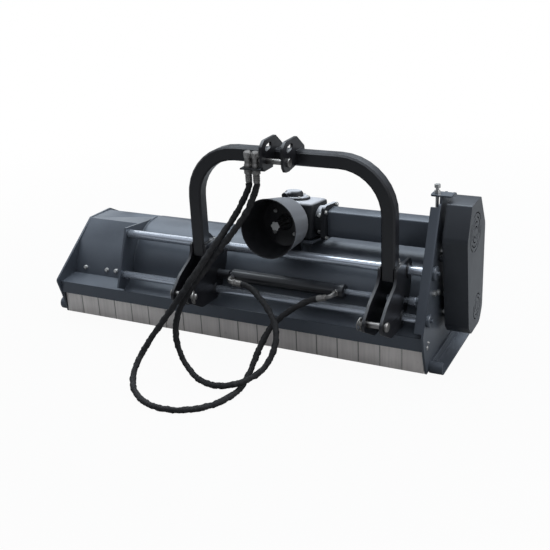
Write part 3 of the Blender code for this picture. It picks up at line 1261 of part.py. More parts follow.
def build():
    base = group("mower_base", (-(BASE_X[0] + BASE_X[1]) / 2, -(BASE_Y[0] + BASE_Y[1]) / 2, 0.0))
    deck_shell(base)
    left_side_plate(base)
    right_side_plate(base)
    end_box(base)
    guide_bar(base, "upper_guide_bar", UPPER_R, UPPER_Y, UPPER_Z)
    guide_bar(base, "lower_guide_bar", LOWER_R, LOWER_Y, LOWER_Z)
    flap_rod(base)
    for index in range(FLAP_COUNT):
        front_flap(base, index)
    lean = group("gearbox_lean", (0.0, DRIVE_Y, DRIVE_Z), base)
    lean.rotation_euler = (math.radians(-INPUT_TILT), 0.0, 0.0)
    upright = group("gearbox_upright", (0.0, -DRIVE_Y, -DRIVE_Z), lean)
    gearbox_housing(upright)
    pto_guard(upright)
    input_shaft(upright)
    drive_tube(base)
    drive_shaft(base)
    pulley(base, "upper_pulley", UPPER_PULLEY_R, DRIVE_Y, DRIVE_Z, DRIVE_SHAFT_R)
    pulley(base, "lower_pulley", LOWER_PULLEY_R, ROTOR_Y, ROTOR_Z, ROTOR_SHAFT_R)
    for index in range(BELTS):
        v_belt(base, index)
    belt_guard_backplate(base)
    belt_guard_cover(base)
    tensioner_screw(base)
    rotor(base)
    bearing(base, "left_rotor_bearing", DECK_LEFT, -1.0)
    bearing(base, "right_rotor_bearing", DECK_RIGHT, 1.0)
    rear_roller(base)
    roller_bracket(base, "left_roller_bracket", -1.0)
    roller_bracket(base, "right_roller_bracket", 1.0)
    rear_door(base)
    skid(base, "left_skid", -1.0)
    skid(base, "right_skid", 1.0)
    cylinder_rod(base)
    hitch = group("hitch_slide", (HITCH_X, 0.0, 0.0), base)
    hitch_arch(hitch)
    fork(hitch, "left_fork", -1.0)
    fork(hitch, "right_fork", 1.0)
    hitch_pin(hitch, "left_hitch_pin", -1.0)
    hitch_pin(hitch, "right_hitch_pin", 1.0)
    top_link_pin(hitch)
    cylinder_barrel(hitch)
    hose(hitch, "hose_a", COUPLER_X[0], HOSE_A_ROUTE, RIGHT_PORT)
    hose(hitch, "hose_b", COUPLER_X[1], HOSE_B_ROUTE, LEFT_PORT)
    coupler(hitch, "coupler_a", COUPLER_X[0])
    coupler(hitch, "coupler_b", COUPLER_X[1])


build()
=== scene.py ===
"""Side-shift flail mulcher for a compact tractor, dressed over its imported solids.

+X runs along the rotor to the belt drive, +Y from the tractor to the rear roller, +Z up.
"""

import math

import bmesh
import bpy
from mathutils import Matrix, Vector, noise
from mathutils.bvhtree import BVHTree


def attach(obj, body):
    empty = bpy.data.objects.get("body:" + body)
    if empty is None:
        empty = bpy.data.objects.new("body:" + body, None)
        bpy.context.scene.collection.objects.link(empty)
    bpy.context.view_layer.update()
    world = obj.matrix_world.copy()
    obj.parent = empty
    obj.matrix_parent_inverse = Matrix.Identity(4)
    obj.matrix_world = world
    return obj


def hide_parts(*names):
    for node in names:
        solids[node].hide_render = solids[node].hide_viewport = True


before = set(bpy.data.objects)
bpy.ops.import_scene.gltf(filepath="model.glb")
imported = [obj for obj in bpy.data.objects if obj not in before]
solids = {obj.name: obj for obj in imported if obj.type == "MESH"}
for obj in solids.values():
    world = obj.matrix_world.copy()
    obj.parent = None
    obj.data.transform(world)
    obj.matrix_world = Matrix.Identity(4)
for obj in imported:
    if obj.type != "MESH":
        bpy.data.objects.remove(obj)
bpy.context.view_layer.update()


# Camera.  It stands before the hitch and to the belt side, well above the arch, and leans a
# little to the left.

EYE = Vector((1.578, -2.9441, 1.55))
ROUND, DOWN, TILT = (math.radians(angle) for angle in (27.1, 22.0, -2.8))
PIXELS_PER_RADIAN = 901.0
FRAME_WIDTH = 550.0


def link(name, data):
    """An object of that name in the scene, round its mesh, curve, lamp or lens."""
    piece = bpy.data.objects.new(name, data)
    bpy.context.scene.collection.objects.link(piece)
    return piece


back = Vector((math.sin(ROUND) * math.cos(DOWN), -math.cos(ROUND) * math.cos(DOWN), math.sin(DOWN)))
level = Vector((math.cos(ROUND), math.sin(ROUND), 0.0))
rise = back.cross(level)
right = level * math.cos(TILT) + rise * math.sin(TILT)
top = rise * math.cos(TILT) - level * math.sin(TILT)
lens = bpy.data.cameras.new("camera")
lens.lens = PIXELS_PER_RADIAN / FRAME_WIDTH * lens.sensor_width
camera = link("camera", lens)
camera.matrix_world = Matrix.Translation(EYE) @ Matrix((right, top, back)).transposed().to_4x4()
bpy.context.scene.camera = camera


# Hydraulic hoses.  Two rubber hoses in woven textile sleeves hang from the couplers, lie in
# loops on the ground before the flaps and come up to the two ports of the side-shift cylinder.

class Number:
    """A socket of a shader; arithmetic on it adds the Math nodes."""

    def __init__(self, finish, socket):
        self.finish = finish
        self.socket = socket

    def __add__(self, other):
        return self.finish.maths("ADD", self, other)

    def __sub__(self, other):
        return self.finish.maths("SUBTRACT", self, other)

    def __rsub__(self, other):
        return self.finish.maths("SUBTRACT", other, self)

    def __mul__(self, other):
        return self.finish.maths("MULTIPLY", self, other)

    def __truediv__(self, other):
        return self.finish.maths("DIVIDE", self, other)

    def __rtruediv__(self, other):
        return self.finish.maths("DIVIDE", other, self)

    __radd__ = __add__
    __rmul__ = __mul__


class Finish:
    """A material in the making; node() adds a node from its type, settings and inputs.

    A colour is three numbers, or what a node gives.
    """

    def __init__(self, name, **constants):
        self.material = bpy.data.materials.new(name)
        self.material.use_nodes = True
        self.tree = self.material.node_tree
        self.shader = self.tree.nodes["Principled BSDF"]
        for label, value in constants.items():
            self.shader.inputs[label.replace("_", " ")].default_value = value

    def node(self, kind, settings=None, inputs=None, output=0):
        made = self.tree.nodes.new(kind)
        for label, value in (settings or {}).items():
            if label == "stops":
                stops = made.color_ramp.elements
                while len(stops) < len(value):
                    stops.new(0.5)
                for stop, (place, color) in zip(stops, value):
                    stop.position = place
                    stop.color = color
            else:
                setattr(made, label, value)
        for label, value in (inputs or {}).items():
            if isinstance(value, Number):
                self.tree.links.new(value.socket, made.inputs[label])
            else:
                made.inputs[label].default_value = value
        return Number(self, made.outputs[output])

    def maths(self, operation, *values):
        return self.node("ShaderNodeMath", {"operation": operation}, dict(enumerate(values)))

    def place(self, output="Object"):
        return self.node("ShaderNodeTexCoord", output=output)

    def apart(self, vector, axis):
        return self.node("ShaderNodeSeparateXYZ", inputs={0: vector}, output=axis)

    def facing_up(self):
        return self.apart(self.node("ShaderNodeNewGeometry", output="Normal"), 2)

    def grain(self, scale, detail, rough=0.5, stretch=None):
        vector = self.place()
        if stretch:
            vector = self.node("ShaderNodeMapping", inputs={"Vector": vector, "Scale": stretch})
        return self.node("ShaderNodeTexNoise", {"noise_dimensions": "3D"},
                         {"Vector": vector, "Scale": scale, "Detail": detail, "Roughness": rough})

    def ramp(self, value, *stops):
        stops = [(place, (level, level, level, 1.0)) for place, level in stops]
        return self.node("ShaderNodeValToRGB", {"stops": stops}, {"Fac": value})

    def mix(self, share, first, second):
        first, second = (c if isinstance(c, Number) else (*c, 1.0) for c in (first, second))
        return self.node("ShaderNodeMix", {"data_type": "RGBA"}, {0: share, 6: first, 7: second}, 2)

    def bump(self, height, strength, distance):
        return self.node("ShaderNodeBump", inputs={"Height": height, "Strength": strength,
                                                   "Distance": distance})

    def wire(self, **links):
        for label, value in links.items():
            self.tree.links.new(value.socket, self.shader.inputs[label.replace("_", " ")])
        return self.material


THREADS_ALONG = 1500.0
THREADS_ROUND = math.tau * 8.0

sleeve = Finish("woven_sleeve", IOR=1.45, Specular_IOR_Level=0.35)
thread = sleeve.place("UV")
along = sleeve.apart(thread, 0) * THREADS_ALONG
around = sleeve.apart(thread, 1) * THREADS_ROUND
one_way = sleeve.maths("SINE", along + around)
other_way = sleeve.maths("SINE", along - around)
weave = one_way * other_way * 0.5 + 0.5
fuzz = sleeve.grain(900.0, detail=4.0)
worn = sleeve.ramp(sleeve.grain(9.0, detail=4.0), (0.35, 0.0), (0.75, 1.0))
cloth = sleeve.mix(weave * 0.6 + fuzz * 0.4, (0.0025, 0.0025, 0.003), (0.015, 0.015, 0.017))
dusty = sleeve.mix(worn * 0.24, cloth, (0.045, 0.042, 0.039))
sleeve.wire(Base_Color=dusty, Roughness=0.62 + fuzz * 0.3,
            Normal=sleeve.bump(weave * 0.7 + fuzz * 0.5, strength=0.75, distance=0.0007))

HOSE_RADIUS = 0.011
SLEEVE_RADIUS = HOSE_RADIUS - 0.0002
PUCKERS = ((42.0, 0.0022), (115.0, 0.0028))         # how close together, how high
KNOTS_APART = 4.6 * HOSE_RADIUS                     # along the loops, once they are evened out
RINGS_APART = 0.004
JOIN_GAP = 0.0003                                   # between a ferrule and the sleeve's end
STRAIGHT_END = 0.010                                # before the hose starts to bend
UNDERSIDE, FOREMOST = 0.0012, -0.7746               # as low and as far in front as it may reach
COUPLER_MOUTHS = ((0.1505, -0.3160, 0.690), (0.1805, -0.3160, 0.690))
CYLINDER_PORTS = (((0.36603, -0.2540, 0.26004), (-0.95630, 0.0, -0.29237)),
                  ((0.05936, -0.2540, 0.27295), (0.99756, 0.0, -0.06976)))
LOOP_A = (
    (0.1405, -0.3170, 0.655), (0.1135, -0.3300, 0.598), (0.0755, -0.3640, 0.528),
    (0.0375, -0.4180, 0.460), (-0.0015, -0.4660, 0.390), (-0.0455, -0.4980, 0.316),
    (-0.0945, -0.5210, 0.242), (-0.1455, -0.5440, 0.168), (-0.1865, -0.5800, 0.093),
    (-0.1825, -0.6500, 0.038), (-0.1245, -0.7180, 0.018), (-0.0415, -0.7590, 0.013),
    (0.0505, -0.7590, 0.013), (0.1305, -0.7140, 0.013), (0.1795, -0.6360, 0.013),
    (0.1945, -0.5450, 0.016), (0.1925, -0.4580, 0.046), (0.1995, -0.3890, 0.108),
    (0.2245, -0.3250, 0.170), (0.2855, -0.2760, 0.222), (0.3385, -0.2560, 0.250))
LOOP_B = (
    (0.1725, -0.3170, 0.657), (0.1525, -0.3290, 0.606), (0.1245, -0.3500, 0.553),
    (0.0845, -0.3810, 0.493), (0.0445, -0.4120, 0.435), (0.0045, -0.4410, 0.374),
    (-0.0365, -0.4660, 0.312), (-0.0725, -0.4800, 0.244), (-0.0925, -0.4870, 0.169),
    (-0.0835, -0.4920, 0.092), (-0.0395, -0.5100, 0.034), (0.0275, -0.5440, 0.014),
    (0.1025, -0.5660, 0.018), (0.1785, -0.5710, 0.038), (0.2365, -0.5300, 0.058),
    (0.2675, -0.4700, 0.091), (0.2765, -0.4200, 0.149), (0.2465, -0.3670, 0.197),
    (0.1935, -0.3210, 0.230), (0.1335, -0.2780, 0.254), (0.0885, -0.2550, 0.270))


def even_route(route, spacing, pieces=12):
    """Evenly spaced points of a smooth curve through the given ones."""
    knots = [Vector(place) for place in route]
    last = len(knots) - 1
    dense = []
    for i in range(last):
        p0, p1, p2, p3 = knots[max(i - 1, 0)], knots[i], knots[i + 1], knots[min(i + 2, last)]
        for t in (k / pieces for k in range(pieces)):
            dense.append(0.5 * (2 * p1 + (p2 - p0) * t + (2 * p0 - 5 * p1 + 4 * p2 - p3) * t * t
                                + (3 * p1 - 3 * p2 + p3 - p0) * t ** 3))
    dense.append(knots[-1])
    whole = sum((b - a).length for a, b in zip(dense, dense[1:]))
    count = round(whole / spacing)
    points, walked = [dense[0]], 0.0
    for a, b in zip(dense, dense[1:]):
        step = (b - a).length
        while len(points) < count and walked + step >= len(points) * whole / count:
            points.append(a.lerp(b, (len(points) * whole / count - walked) / step))
        walked += step
    return points + [dense[-1]]


def tube(name, points, radius, roundness):
    """A round tube along the points as a mesh, with the curve's own UV along and around it."""
    curve = bpy.data.curves.new(name, "CURVE")
    curve.dimensions = "3D"
    curve.bevel_depth = radius
    curve.bevel_resolution = roundness
    curve.use_fill_caps = True
    line = curve.splines.new("POLY")
    line.points.add(len(points) - 1)
    for point, place in zip(line.points, points):
        point.co = (*place, 1.0)
    mesh = bpy.data.meshes.new_from_object(link(name, curve))
    bpy.data.curves.remove(curve)
    return mesh


def on_rings(mesh, count):
    """Each vertex of a tube with its ring's number; the far cap's come first, then the near's."""
    per_ring = len(mesh.vertices) // (count + 2)
    for vert in mesh.vertices:
        row = vert.index // per_ring
        yield vert, (count - 1, 0)[row] if row < 2 else row - 2


def hose(name, start, loop, mouth, way_in):
    """A sleeved hose from its coupler to its port, square to both ferrules, a little ruffled."""
    start, mouth, way_in, down = Vector(start), Vector(mouth), Vector(way_in), Vector((0, 0, -1))
    knots = even_route([start, *loop, mouth], KNOTS_APART)
    knots = [start + down * JOIN_GAP, start + down * STRAIGHT_END, *knots[1:-1],
             mouth + way_in * STRAIGHT_END, mouth + way_in * JOIN_GAP]
    points = even_route(knots, RINGS_APART)
    mesh = tube(name, points, HOSE_RADIUS, roundness=6)
    for vert, i in on_rings(mesh, len(points)):
        pucker = sum(noise.noise(vert.co * close) * high for close, high in PUCKERS)
        vert.co = points[i] + (vert.co - points[i]).normalized() * (SLEEVE_RADIUS + pucker)
        vert.co.z = max(vert.co.z, UNDERSIDE)
        vert.co.y = max(vert.co.y, FOREMOST)
    mesh.shade_smooth()
    mesh.materials.append(sleeve.material)
    length = sum((b - a).length for a, b in zip(points, points[1:]))
    piece = link(f"{name}_sleeve", mesh)
    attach(piece, "hitch")
    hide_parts(name)


hose("hose_a", COUPLER_MOUTHS[0], LOOP_A, *CYLINDER_PORTS[0])
hose("hose_b", COUPLER_MOUTHS[1], LOOP_B, *CYLINDER_PORTS[1])


# Ground and light.  A plain white floor that keeps the shadows, under a sky that is bright
# overhead and dim all round, with a wide soft lamp above, a low one behind that glances off
# what faces up, and a smaller one on the belt side.

FLOOR_HALF = 60.0
FLOOR_GREY = 0.26
GLOW_REACH = 8.0
GLOW_UNDER, GLOW_AWAY = (0.15, 0.955), (0.45, 1.0)  # share of that reach, share of plain white
SKY_DIM = (0.12, (0.060, 0.060, 0.065, 1))          # height, colour
SKY_BRIGHT = (0.85, (1.04, 1.10, 1.18, 1))

ground = bmesh.new()
bmesh.ops.create_grid(ground, x_segments=1, y_segments=1, size=FLOOR_HALF)
floor_mesh = bpy.data.meshes.new("floor")
ground.to_mesh(floor_mesh)
ground.free()
floor = link("floor", floor_mesh)
paper = Finish("white_floor", Roughness=0.9, Specular_IOR_Level=0.1,
               Base_Color=(FLOOR_GREY, FLOOR_GREY, FLOOR_GREY, 1))
seen = paper.node("ShaderNodeLightPath", output="Is Camera Ray")
glow = paper.node("ShaderNodeEmission", inputs={"Color": (1, 1, 1, 1), "Strength": 1.0})
away = paper.node("ShaderNodeVectorMath", {"operation": "LENGTH"}, {0: paper.place()}, "Value")
plain = paper.ramp(away / GLOW_REACH, GLOW_UNDER, GLOW_AWAY)
lit = Number(paper, paper.shader.outputs[0])
blend = paper.node("ShaderNodeMixShader", inputs={0: seen * plain, 1: lit, 2: glow})
paper.tree.links.new(blend.socket, paper.tree.nodes["Material Output"].inputs["Surface"])
floor_mesh.materials.append(paper.material)


def lamp(name, place, aim, size, power, tint=(1.0, 1.0, 1.0)):
    """A rectangular soft lamp that shines from its place at its aim."""
    light = bpy.data.lights.new(name, "AREA")
    light.shape = "RECTANGLE"
    light.size, light.size_y = size
    light.energy = power
    light.color = tint
    turn = (Vector(place) - Vector(aim)).to_track_quat("Z", "Y").to_matrix().to_4x4()
    link(name, light).matrix_world = Matrix.Translation(place) @ turn


class Sky(Finish):
    """The world's shader, made of the same nodes as a finish."""

    def __init__(self, name):
        self.world = bpy.data.worlds.new(name)
        self.world.use_nodes = True
        self.tree = self.world.node_tree
        self.shader = self.tree.nodes["Background"]


lamp("overhead", place=(-0.3, 0.9, 3.4), aim=(0.0, 0.1, 0.2), size=(4.5, 3.0), power=165.0,
     tint=(0.87, 0.95, 1.0))
lamp("behind", place=(-5.5, 4.0, 1.7), aim=(0.0, 0.0, 0.6), size=(4.4, 2.0), power=56.0,
     tint=(0.92, 0.97, 1.0))
lamp("belt_side", place=(4.2, 0.6, 2.0), aim=(0.5, 0.0, 0.3), size=(2.4, 2.0), power=88.0)

sky = Sky("studio")
height = sky.apart(sky.place("Generated"), 2)
shade = sky.node("ShaderNodeValToRGB", {"stops": (SKY_DIM, SKY_BRIGHT)}, {"Fac": height})
looked_at = sky.node("ShaderNodeLightPath", output="Is Camera Ray")
plain_white = sky.mix(looked_at, shade, (1, 1, 1))
sky.tree.links.new(plain_white.socket, sky.shader.inputs["Color"])
bpy.context.scene.world = sky.world
bpy.context.scene.view_settings.view_transform = "Standard"


# Deck: hood, end box, side plates, cross tube, roller brackets and rear door.  Steel plate,
# folded, welded and bolted together under a dark graphite powder coat with a soft gloss; the
# bolts and the clips on the rods' ends are zinc plated.

TOP_DUST_AND_SHEEN_GREY = (0.25, 0.28, 0.32)


def powder_coat(name, color, gloss, metal, top_dust_and_sheen):
    """A baked powder coat: orange peel, faint blotches; yard dust and painted sheen where it faces
    up.
    """
    coat = Finish(name, Metallic=metal, Specular_IOR_Level=0.5)
    peel = coat.grain(420.0, detail=2.0)
    blotch = coat.ramp(coat.grain(7.0, detail=5.0, rough=0.6), (0.3, 0.0), (0.7, 1.0))
    specks = coat.ramp(coat.grain(160.0, detail=3.0, rough=0.7), (0.60, 0.0), (0.75, 1.0))
    # What faces up turns paler: yard dust in blotches and specks, and a painted sheen of the sky.
    upper = coat.ramp(coat.facing_up(), (0.35, 0.0), (0.95, 1.0))
    dust_and_top_sheen = upper * (blotch * 0.6 + specks * 0.4) * top_dust_and_sheen
    paint = coat.mix(blotch * 0.35, color, tuple(c * 1.25 + 0.004 for c in color))
    return coat.wire(Base_Color=coat.mix(dust_and_top_sheen, paint, TOP_DUST_AND_SHEEN_GREY),
                     Roughness=gloss + blotch * 0.08 + dust_and_top_sheen * 0.5,
                     Normal=coat.bump(peel, strength=0.10, distance=0.0006))


def bright_metal(name, color, gloss, metallic=1.0, scratch=0.1, wear=1.0):
    """Turned, ground or plated steel: fine rings round its length and a few dull spots."""
    metal = Finish(name, Metallic=metallic)
    rings = metal.grain(500.0, detail=2.0, stretch=(1.0, 0.03, 0.03))
    dull = metal.ramp(metal.grain(24.0, detail=5.0), (0.40, 0.0), (0.75, 1.0)) * wear
    tone = metal.mix(dull * 0.35, color, tuple(c * 0.62 for c in color))
    return metal.wire(Base_Color=tone, Roughness=gloss + dull * 0.16 + rings * (0.05 * wear),
                      Normal=metal.bump(rings, strength=scratch, distance=0.0003))


graphite = powder_coat("graphite_coat", (0.058, 0.067, 0.082), gloss=0.34, metal=0.30, top_dust_and_sheen=0.20)
zinc = bright_metal("zinc_plate", (0.50, 0.50, 0.49), gloss=0.30)

SAME_PLACE = 0.00001                                # what a solid's loose triangles are joined at
SAME_PLANE, CREASE, CORNER = (math.radians(angle) for angle in (0.4, 38.0, 50.0))


def dressed(name, finish, body, edge=0.0, other=None, where=None):
    """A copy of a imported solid, merged and shaded smooth, with its edges eased; stands for it.

    The faces that the test picks take the other finish.
    """
    shape = bmesh.new()
    shape.from_mesh(solids[name].data)
    bmesh.ops.remove_doubles(shape, verts=shape.verts, dist=SAME_PLACE)
    bmesh.ops.dissolve_limit(shape, angle_limit=SAME_PLANE, verts=shape.verts, edges=shape.edges)
    mesh = bpy.data.meshes.new(f"{name}_dressed")
    shape.to_mesh(mesh)
    shape.free()
    mesh.materials.clear()
    mesh.materials.append(finish)
    if other:
        mesh.materials.append(other)
        for face in mesh.polygons:
            face.material_index = int(where(face.center, face.normal))
    mesh.shade_smooth()
    mesh.set_sharp_from_angle(angle=CREASE)
    piece = link(f"{name}_dressed", mesh)
    if edge:
        eased = piece.modifiers.new("eased", "BEVEL")
        eased.width = edge
        eased.segments = 2
        eased.limit_method = "ANGLE"
        eased.angle_limit = CORNER
        eased.harden_normals = True
    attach(piece, body)
    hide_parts(name)


def fitted(name, shape, finish, body, crease=40.0):
    """The finished shape as a piece of its own on a body."""
    mesh = bpy.data.meshes.new(name)
    shape.to_mesh(mesh)
    shape.free()
    mesh.materials.append(finish)
    mesh.shade_smooth()
    mesh.set_sharp_from_angle(angle=math.radians(crease))
    piece = link(name, mesh)
    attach(piece, body)


CLOSED = 0.000005                                   # at a pole, or where a profile meets itself


def turned(shape, profile, spot, axis, sides=24):
    """Adds a body of revolution to a shape: (radius, height) pairs swept round the axis."""
    part = bmesh.new()
    line = [part.verts.new((radius, 0.0, height)) for radius, height in profile]
    edges = [part.edges.new(pair) for pair in zip(line, line[1:])]
    bmesh.ops.spin(part, geom=line + edges, axis=(0, 0, 1), cent=(0, 0, 0), angle=math.tau,
                   steps=sides, use_merge=True)
    bmesh.ops.remove_doubles(part, verts=part.verts, dist=CLOSED)
    bmesh.ops.recalc_face_normals(part, faces=part.faces)
    turn = Vector(axis).to_track_quat("Z", "Y").to_matrix().to_4x4()
    part.transform(Matrix.Translation(spot) @ turn)
    ready = bpy.data.meshes.new("part")
    part.to_mesh(ready)
    part.free()
    shape.from_mesh(ready)
    bpy.data.meshes.remove(ready)


def ring(inner, outer, depth, start=0.0):
    """The profile of a plain ring with its outer edges broken."""
    end = start + depth
    broken = min(0.0005, depth / 3)
    return [(inner, start), (outer - broken, start), (outer, start + broken),
            (outer, end - broken), (outer - broken, end), (inner, end), (inner, start)]


SUNK = 0.0003                                       # what a head or nut goes into what it sits on
WASHER_RADIUS, WASHER_DEPTH, ON_WASHER = 1.02, 0.18, 0.17        # shares of the thread's size
CORNER_RADIUS, HEAD_DEPTH, CHAMFER_DEPTH = 0.94, 0.62, 0.10
CHAMFER_RADIUS = 0.86                               # share of the corner's


def hexagon(shape, spot, axis, size, inner=0.0, washer=True):
    """A hexagon head, or a nut round an inner radius, on its washer; size is the thread's."""
    foot = -SUNK
    if washer:
        turned(shape, ring(inner, size * WASHER_RADIUS, size * WASHER_DEPTH + SUNK, foot), spot, axis)
        foot = size * ON_WASHER
    corner = size * CORNER_RADIUS
    head = foot + size * HEAD_DEPTH
    turned(shape, [(inner, foot), (corner, foot), (corner, head - size * CHAMFER_DEPTH),
                   (corner * CHAMFER_RADIUS, head), (inner, head)], spot, axis, sides=6)


surfaces = {}


def seat(solid, start, way):
    """Where a ray first meets a solid, and which way its face looks there."""
    if solid not in surfaces:
        mesh = solids[solid].data
        surfaces[solid] = BVHTree.FromPolygons([v.co for v in mesh.vertices],
                                               [f.vertices for f in mesh.polygons])
    spot, normal, _, _ = surfaces[solid].ray_cast(Vector(start), Vector(way).normalized())
    return spot, normal


def bolts(name, solid, rays, size):
    """Zinc-plated hexagon bolts on the deck, seated where each ray meets the solid."""
    shape = bmesh.new()
    for start, way in rays:
        hexagon(shape, *seat(solid, start, way), size)
    fitted(name, shape, zinc, "deck")


DROPS_APART = 0.0014
RIPPLE_TURN, RIPPLE = 0.75, 0.22                    # radians from ring to ring, share of radius
WANDER_CLOSE, WANDER = 90.0, 0.20
WAIST = 0.84


def welds(name, routes, radius, finish, body):
    """Weld beads along their routes, painted over: thin tubes with the ripples of their drops."""
    shape = bmesh.new()
    for route in routes:
        points = even_route(route, DROPS_APART)
        mesh = tube(name, points, radius, roundness=1)
        for vert, i in on_rings(mesh, len(points)):
            drop = (WAIST + RIPPLE * abs(math.sin(i * RIPPLE_TURN))
                    + WANDER * noise.noise(points[i] * WANDER_CLOSE))
            vert.co = points[i] + (vert.co - points[i]) * drop
        shape.from_mesh(mesh)
        bpy.data.meshes.remove(mesh)
    fitted(name, shape, finish, body, crease=180.0)


PLATE_FACE, HEADS_BELOW = 0.7618, 0.50              # the side plate's own bolt heads lie out here
for name in ("deck_shell", "end_box", "left_side_plate", "drive_tube",
             "left_roller_bracket", "right_roller_bracket"):
    dressed(name, graphite, "deck", edge=0.0008)
dressed("right_side_plate", graphite, "deck", edge=0.0008, other=zinc,
        where=lambda centre, normal: PLATE_FACE < centre.x and centre.z < HEADS_BELOW)
dressed("rear_door", graphite, "door", edge=0.0006)

REAR, LEFT, RIGHT = (0, 1, 0), (-1, 0, 0), (1, 0, 0)
BEFORE_BOX, OFF_LEFT, OFF_RIGHT = -0.35, -0.86, 0.80     # where the rays to the seats start
BOX_BOLTS = ((-0.7585, 0.187), (-0.6499, 0.188), (-0.6044, 0.189))
BRACKET_BOLTS = ((0.267, 0.196), (0.271, 0.170))
PLATE_SCREWS = ((-0.2064, 0.1321),)
bolts("end_box_bolts", "end_box",
      [((x, BEFORE_BOX, z), REAR) for x, z in BOX_BOLTS], size=0.0090)
bolts("right_plate_screw", "right_side_plate",
      [((OFF_RIGHT, y, z), LEFT) for y, z in PLATE_SCREWS], size=0.0055)
bolts("left_bracket_bolts", "left_side_plate",
      [((OFF_LEFT, y, z), RIGHT) for y, z in BRACKET_BOLTS], size=0.0100)
bolts("right_bracket_bolts", "right_side_plate",
      [((OFF_RIGHT, y, z), LEFT) for y, z in BRACKET_BOLTS], size=0.0100)

HOOD_Y, HOOD_Z, HOOD_RADIUS = 0.032, 0.195, 0.188
BULKHEAD_X, TALL_PLATE_X, STAND_SIDES = -0.4935, 0.7510, (0.1290, 0.2480)
PLATE_BEAD, STAND_BEAD = 0.0030, 0.0026
bead_arc = HOOD_RADIUS + 0.0008                     # a bead's middle lies just off the sheet


def over_hood(x, first, last, apart=4):
    """A bead's line at one place along the hood, from one angle to another in degrees."""
    turns = [math.radians(angle) for angle in range(first, last - 1, -apart)]
    return [(x, HOOD_Y + bead_arc * math.cos(turn), HOOD_Z + bead_arc * math.sin(turn))
            for turn in turns]


welds("bulkhead_weld", [over_hood(BULKHEAD_X, 170, 86)], PLATE_BEAD, graphite, "deck")
welds("right_plate_weld", [over_hood(TALL_PLATE_X, 170, 62)], PLATE_BEAD, graphite, "deck")
welds("stand_welds", [over_hood(x, 130, 90) for x in STAND_SIDES], STAND_BEAD, graphite, "deck")

SIDE_FACES = ((-0.8185, -1), (0.7615, 1))           # x of each side plate's face, which way out
CLIP_OFF = 0.0004                                   # from that face
ROD_CLIPS = (((-0.218, 0.118), 0.0045, 0.0090, 0.0018), ((0.234, 0.288), 0.0055, 0.0105, 0.0020))
clips = bmesh.new()
for plate, out in SIDE_FACES:
    for (y, z), inner, outer, depth in ROD_CLIPS:
        turned(clips, ring(inner, outer, depth, CLIP_OFF), (plate, y, z), (out, 0, 0))
fitted("rod_clips", clips, zinc, "deck")


# Hitch arch and forks.  Bent square tube and laser-cut plate, welded together under a
# glossier, nearly black coat; a grease nipple feeds each of the four bushes on the bars.

UP = (0, 0, 1)
LEGS, LEG_FRONT, LEG_FACES = (-0.1035, 0.6365), -0.2737, (-0.0255, 0.0255)
LEG_SEAM = (0.380, 0.398, 0.416)
FORK_TOP, FORK_FACES, FORK_SEAM = 0.4192, (-0.0265, 0.0265), (-0.2710, -0.2480, -0.2250)
ARCH_X, ARCH_TOP = 0.2665, 0.7988
LUGS, LUG_FACES, LUG_SEAM = (-0.0395, 0.0395), (-0.0060, 0.0060), (-0.2715, -0.2475, -0.2245)
BUSHES = ((-0.153, 0.374, 0.0272), (-0.218, 0.223, 0.0237))      # y, z and outer radius
BUSH_ENDS = (-0.0362, 0.0362)
HITCH_BEAD, BUSH_BEAD = 0.0024, 0.0020
NIPPLE = ((0.0, 0.0115), (0.0012, 0.0115), (0.0024, 0.0100), (0.0016, 0.0080),
          (0.0028, 0.0060), (0.0028, 0.0030), (0.0, 0.0030))
NIPPLE_SUNK = 0.0008

black = powder_coat("black_coat", (0.0085, 0.0085, 0.0105), gloss=0.27, metal=0.10, top_dust_and_sheen=0.22)
for name in ("hitch_arch", "left_fork", "right_fork"):
    dressed(name, black, "hitch", edge=0.0010)

lug_seams = [[(ARCH_X + lug + face, y, ARCH_TOP) for y in LUG_SEAM]
             for lug in LUGS for face in LUG_FACES]
leg_seams = [[(leg + face, LEG_FRONT, z) for z in LEG_SEAM] for leg in LEGS for face in LEG_FACES]
top_seams = [[(leg + face, y, FORK_TOP) for y in FORK_SEAM] for leg in LEGS for face in FORK_FACES]
bush_seams = [[(leg + end, y + radius * math.cos(turn), z + radius * math.sin(turn))
               for turn in (math.radians(angle) for angle in range(0, 361, 15))]
              for leg in LEGS for end in BUSH_ENDS for y, z, radius in BUSHES]
welds("hitch_welds", lug_seams + leg_seams + top_seams, HITCH_BEAD, black, "hitch")
welds("bush_welds", bush_seams, BUSH_BEAD, black, "hitch")

nipples = bmesh.new()
for leg in LEGS:
    for y, z, radius in BUSHES:
        spot = (leg, y, z + radius - NIPPLE_SUNK)
        hexagon(nipples, spot, UP, size=0.0055, washer=False)
        turned(nipples, NIPPLE, spot, UP, sides=16)
fitted("grease_nipples", nipples, zinc, "hitch")


# Side-shift cylinder and couplers.  A painted barrel with elbows of dull plated steel, the
# crimped ferrules of both hoses, and quick couplers with a hexagon and a knurled collar.

ELBOWS_BEFORE = -0.2225
COUPLER_CRIMPS, COUPLER_CRIMP = (0.697, 0.704, 0.711), (0.0100, 0.0123, 0.0030)
COUPLER_NUT = 0.7235
KNURLS, KNURL = (0.7785, 0.7825, 0.7865, 0.7905), (0.0120, 0.0140, 0.0020)
PORT_CRIMPS, PORT_CRIMP = (0.0060, 0.0120, 0.0180), (0.0100, 0.0125, 0.0028)
PORT_NUT = 0.0350                                   # from the hose's end, as its crimps are

dull_zinc = bright_metal("dull_zinc", (0.27, 0.26, 0.25), gloss=0.34)
dressed("cylinder_barrel", black, "hitch", edge=0.0005, other=dull_zinc,
        where=lambda centre, normal: centre.y < ELBOWS_BEFORE)
for name in ("coupler_a", "coupler_b"):
    dressed(name, dull_zinc, "hitch")

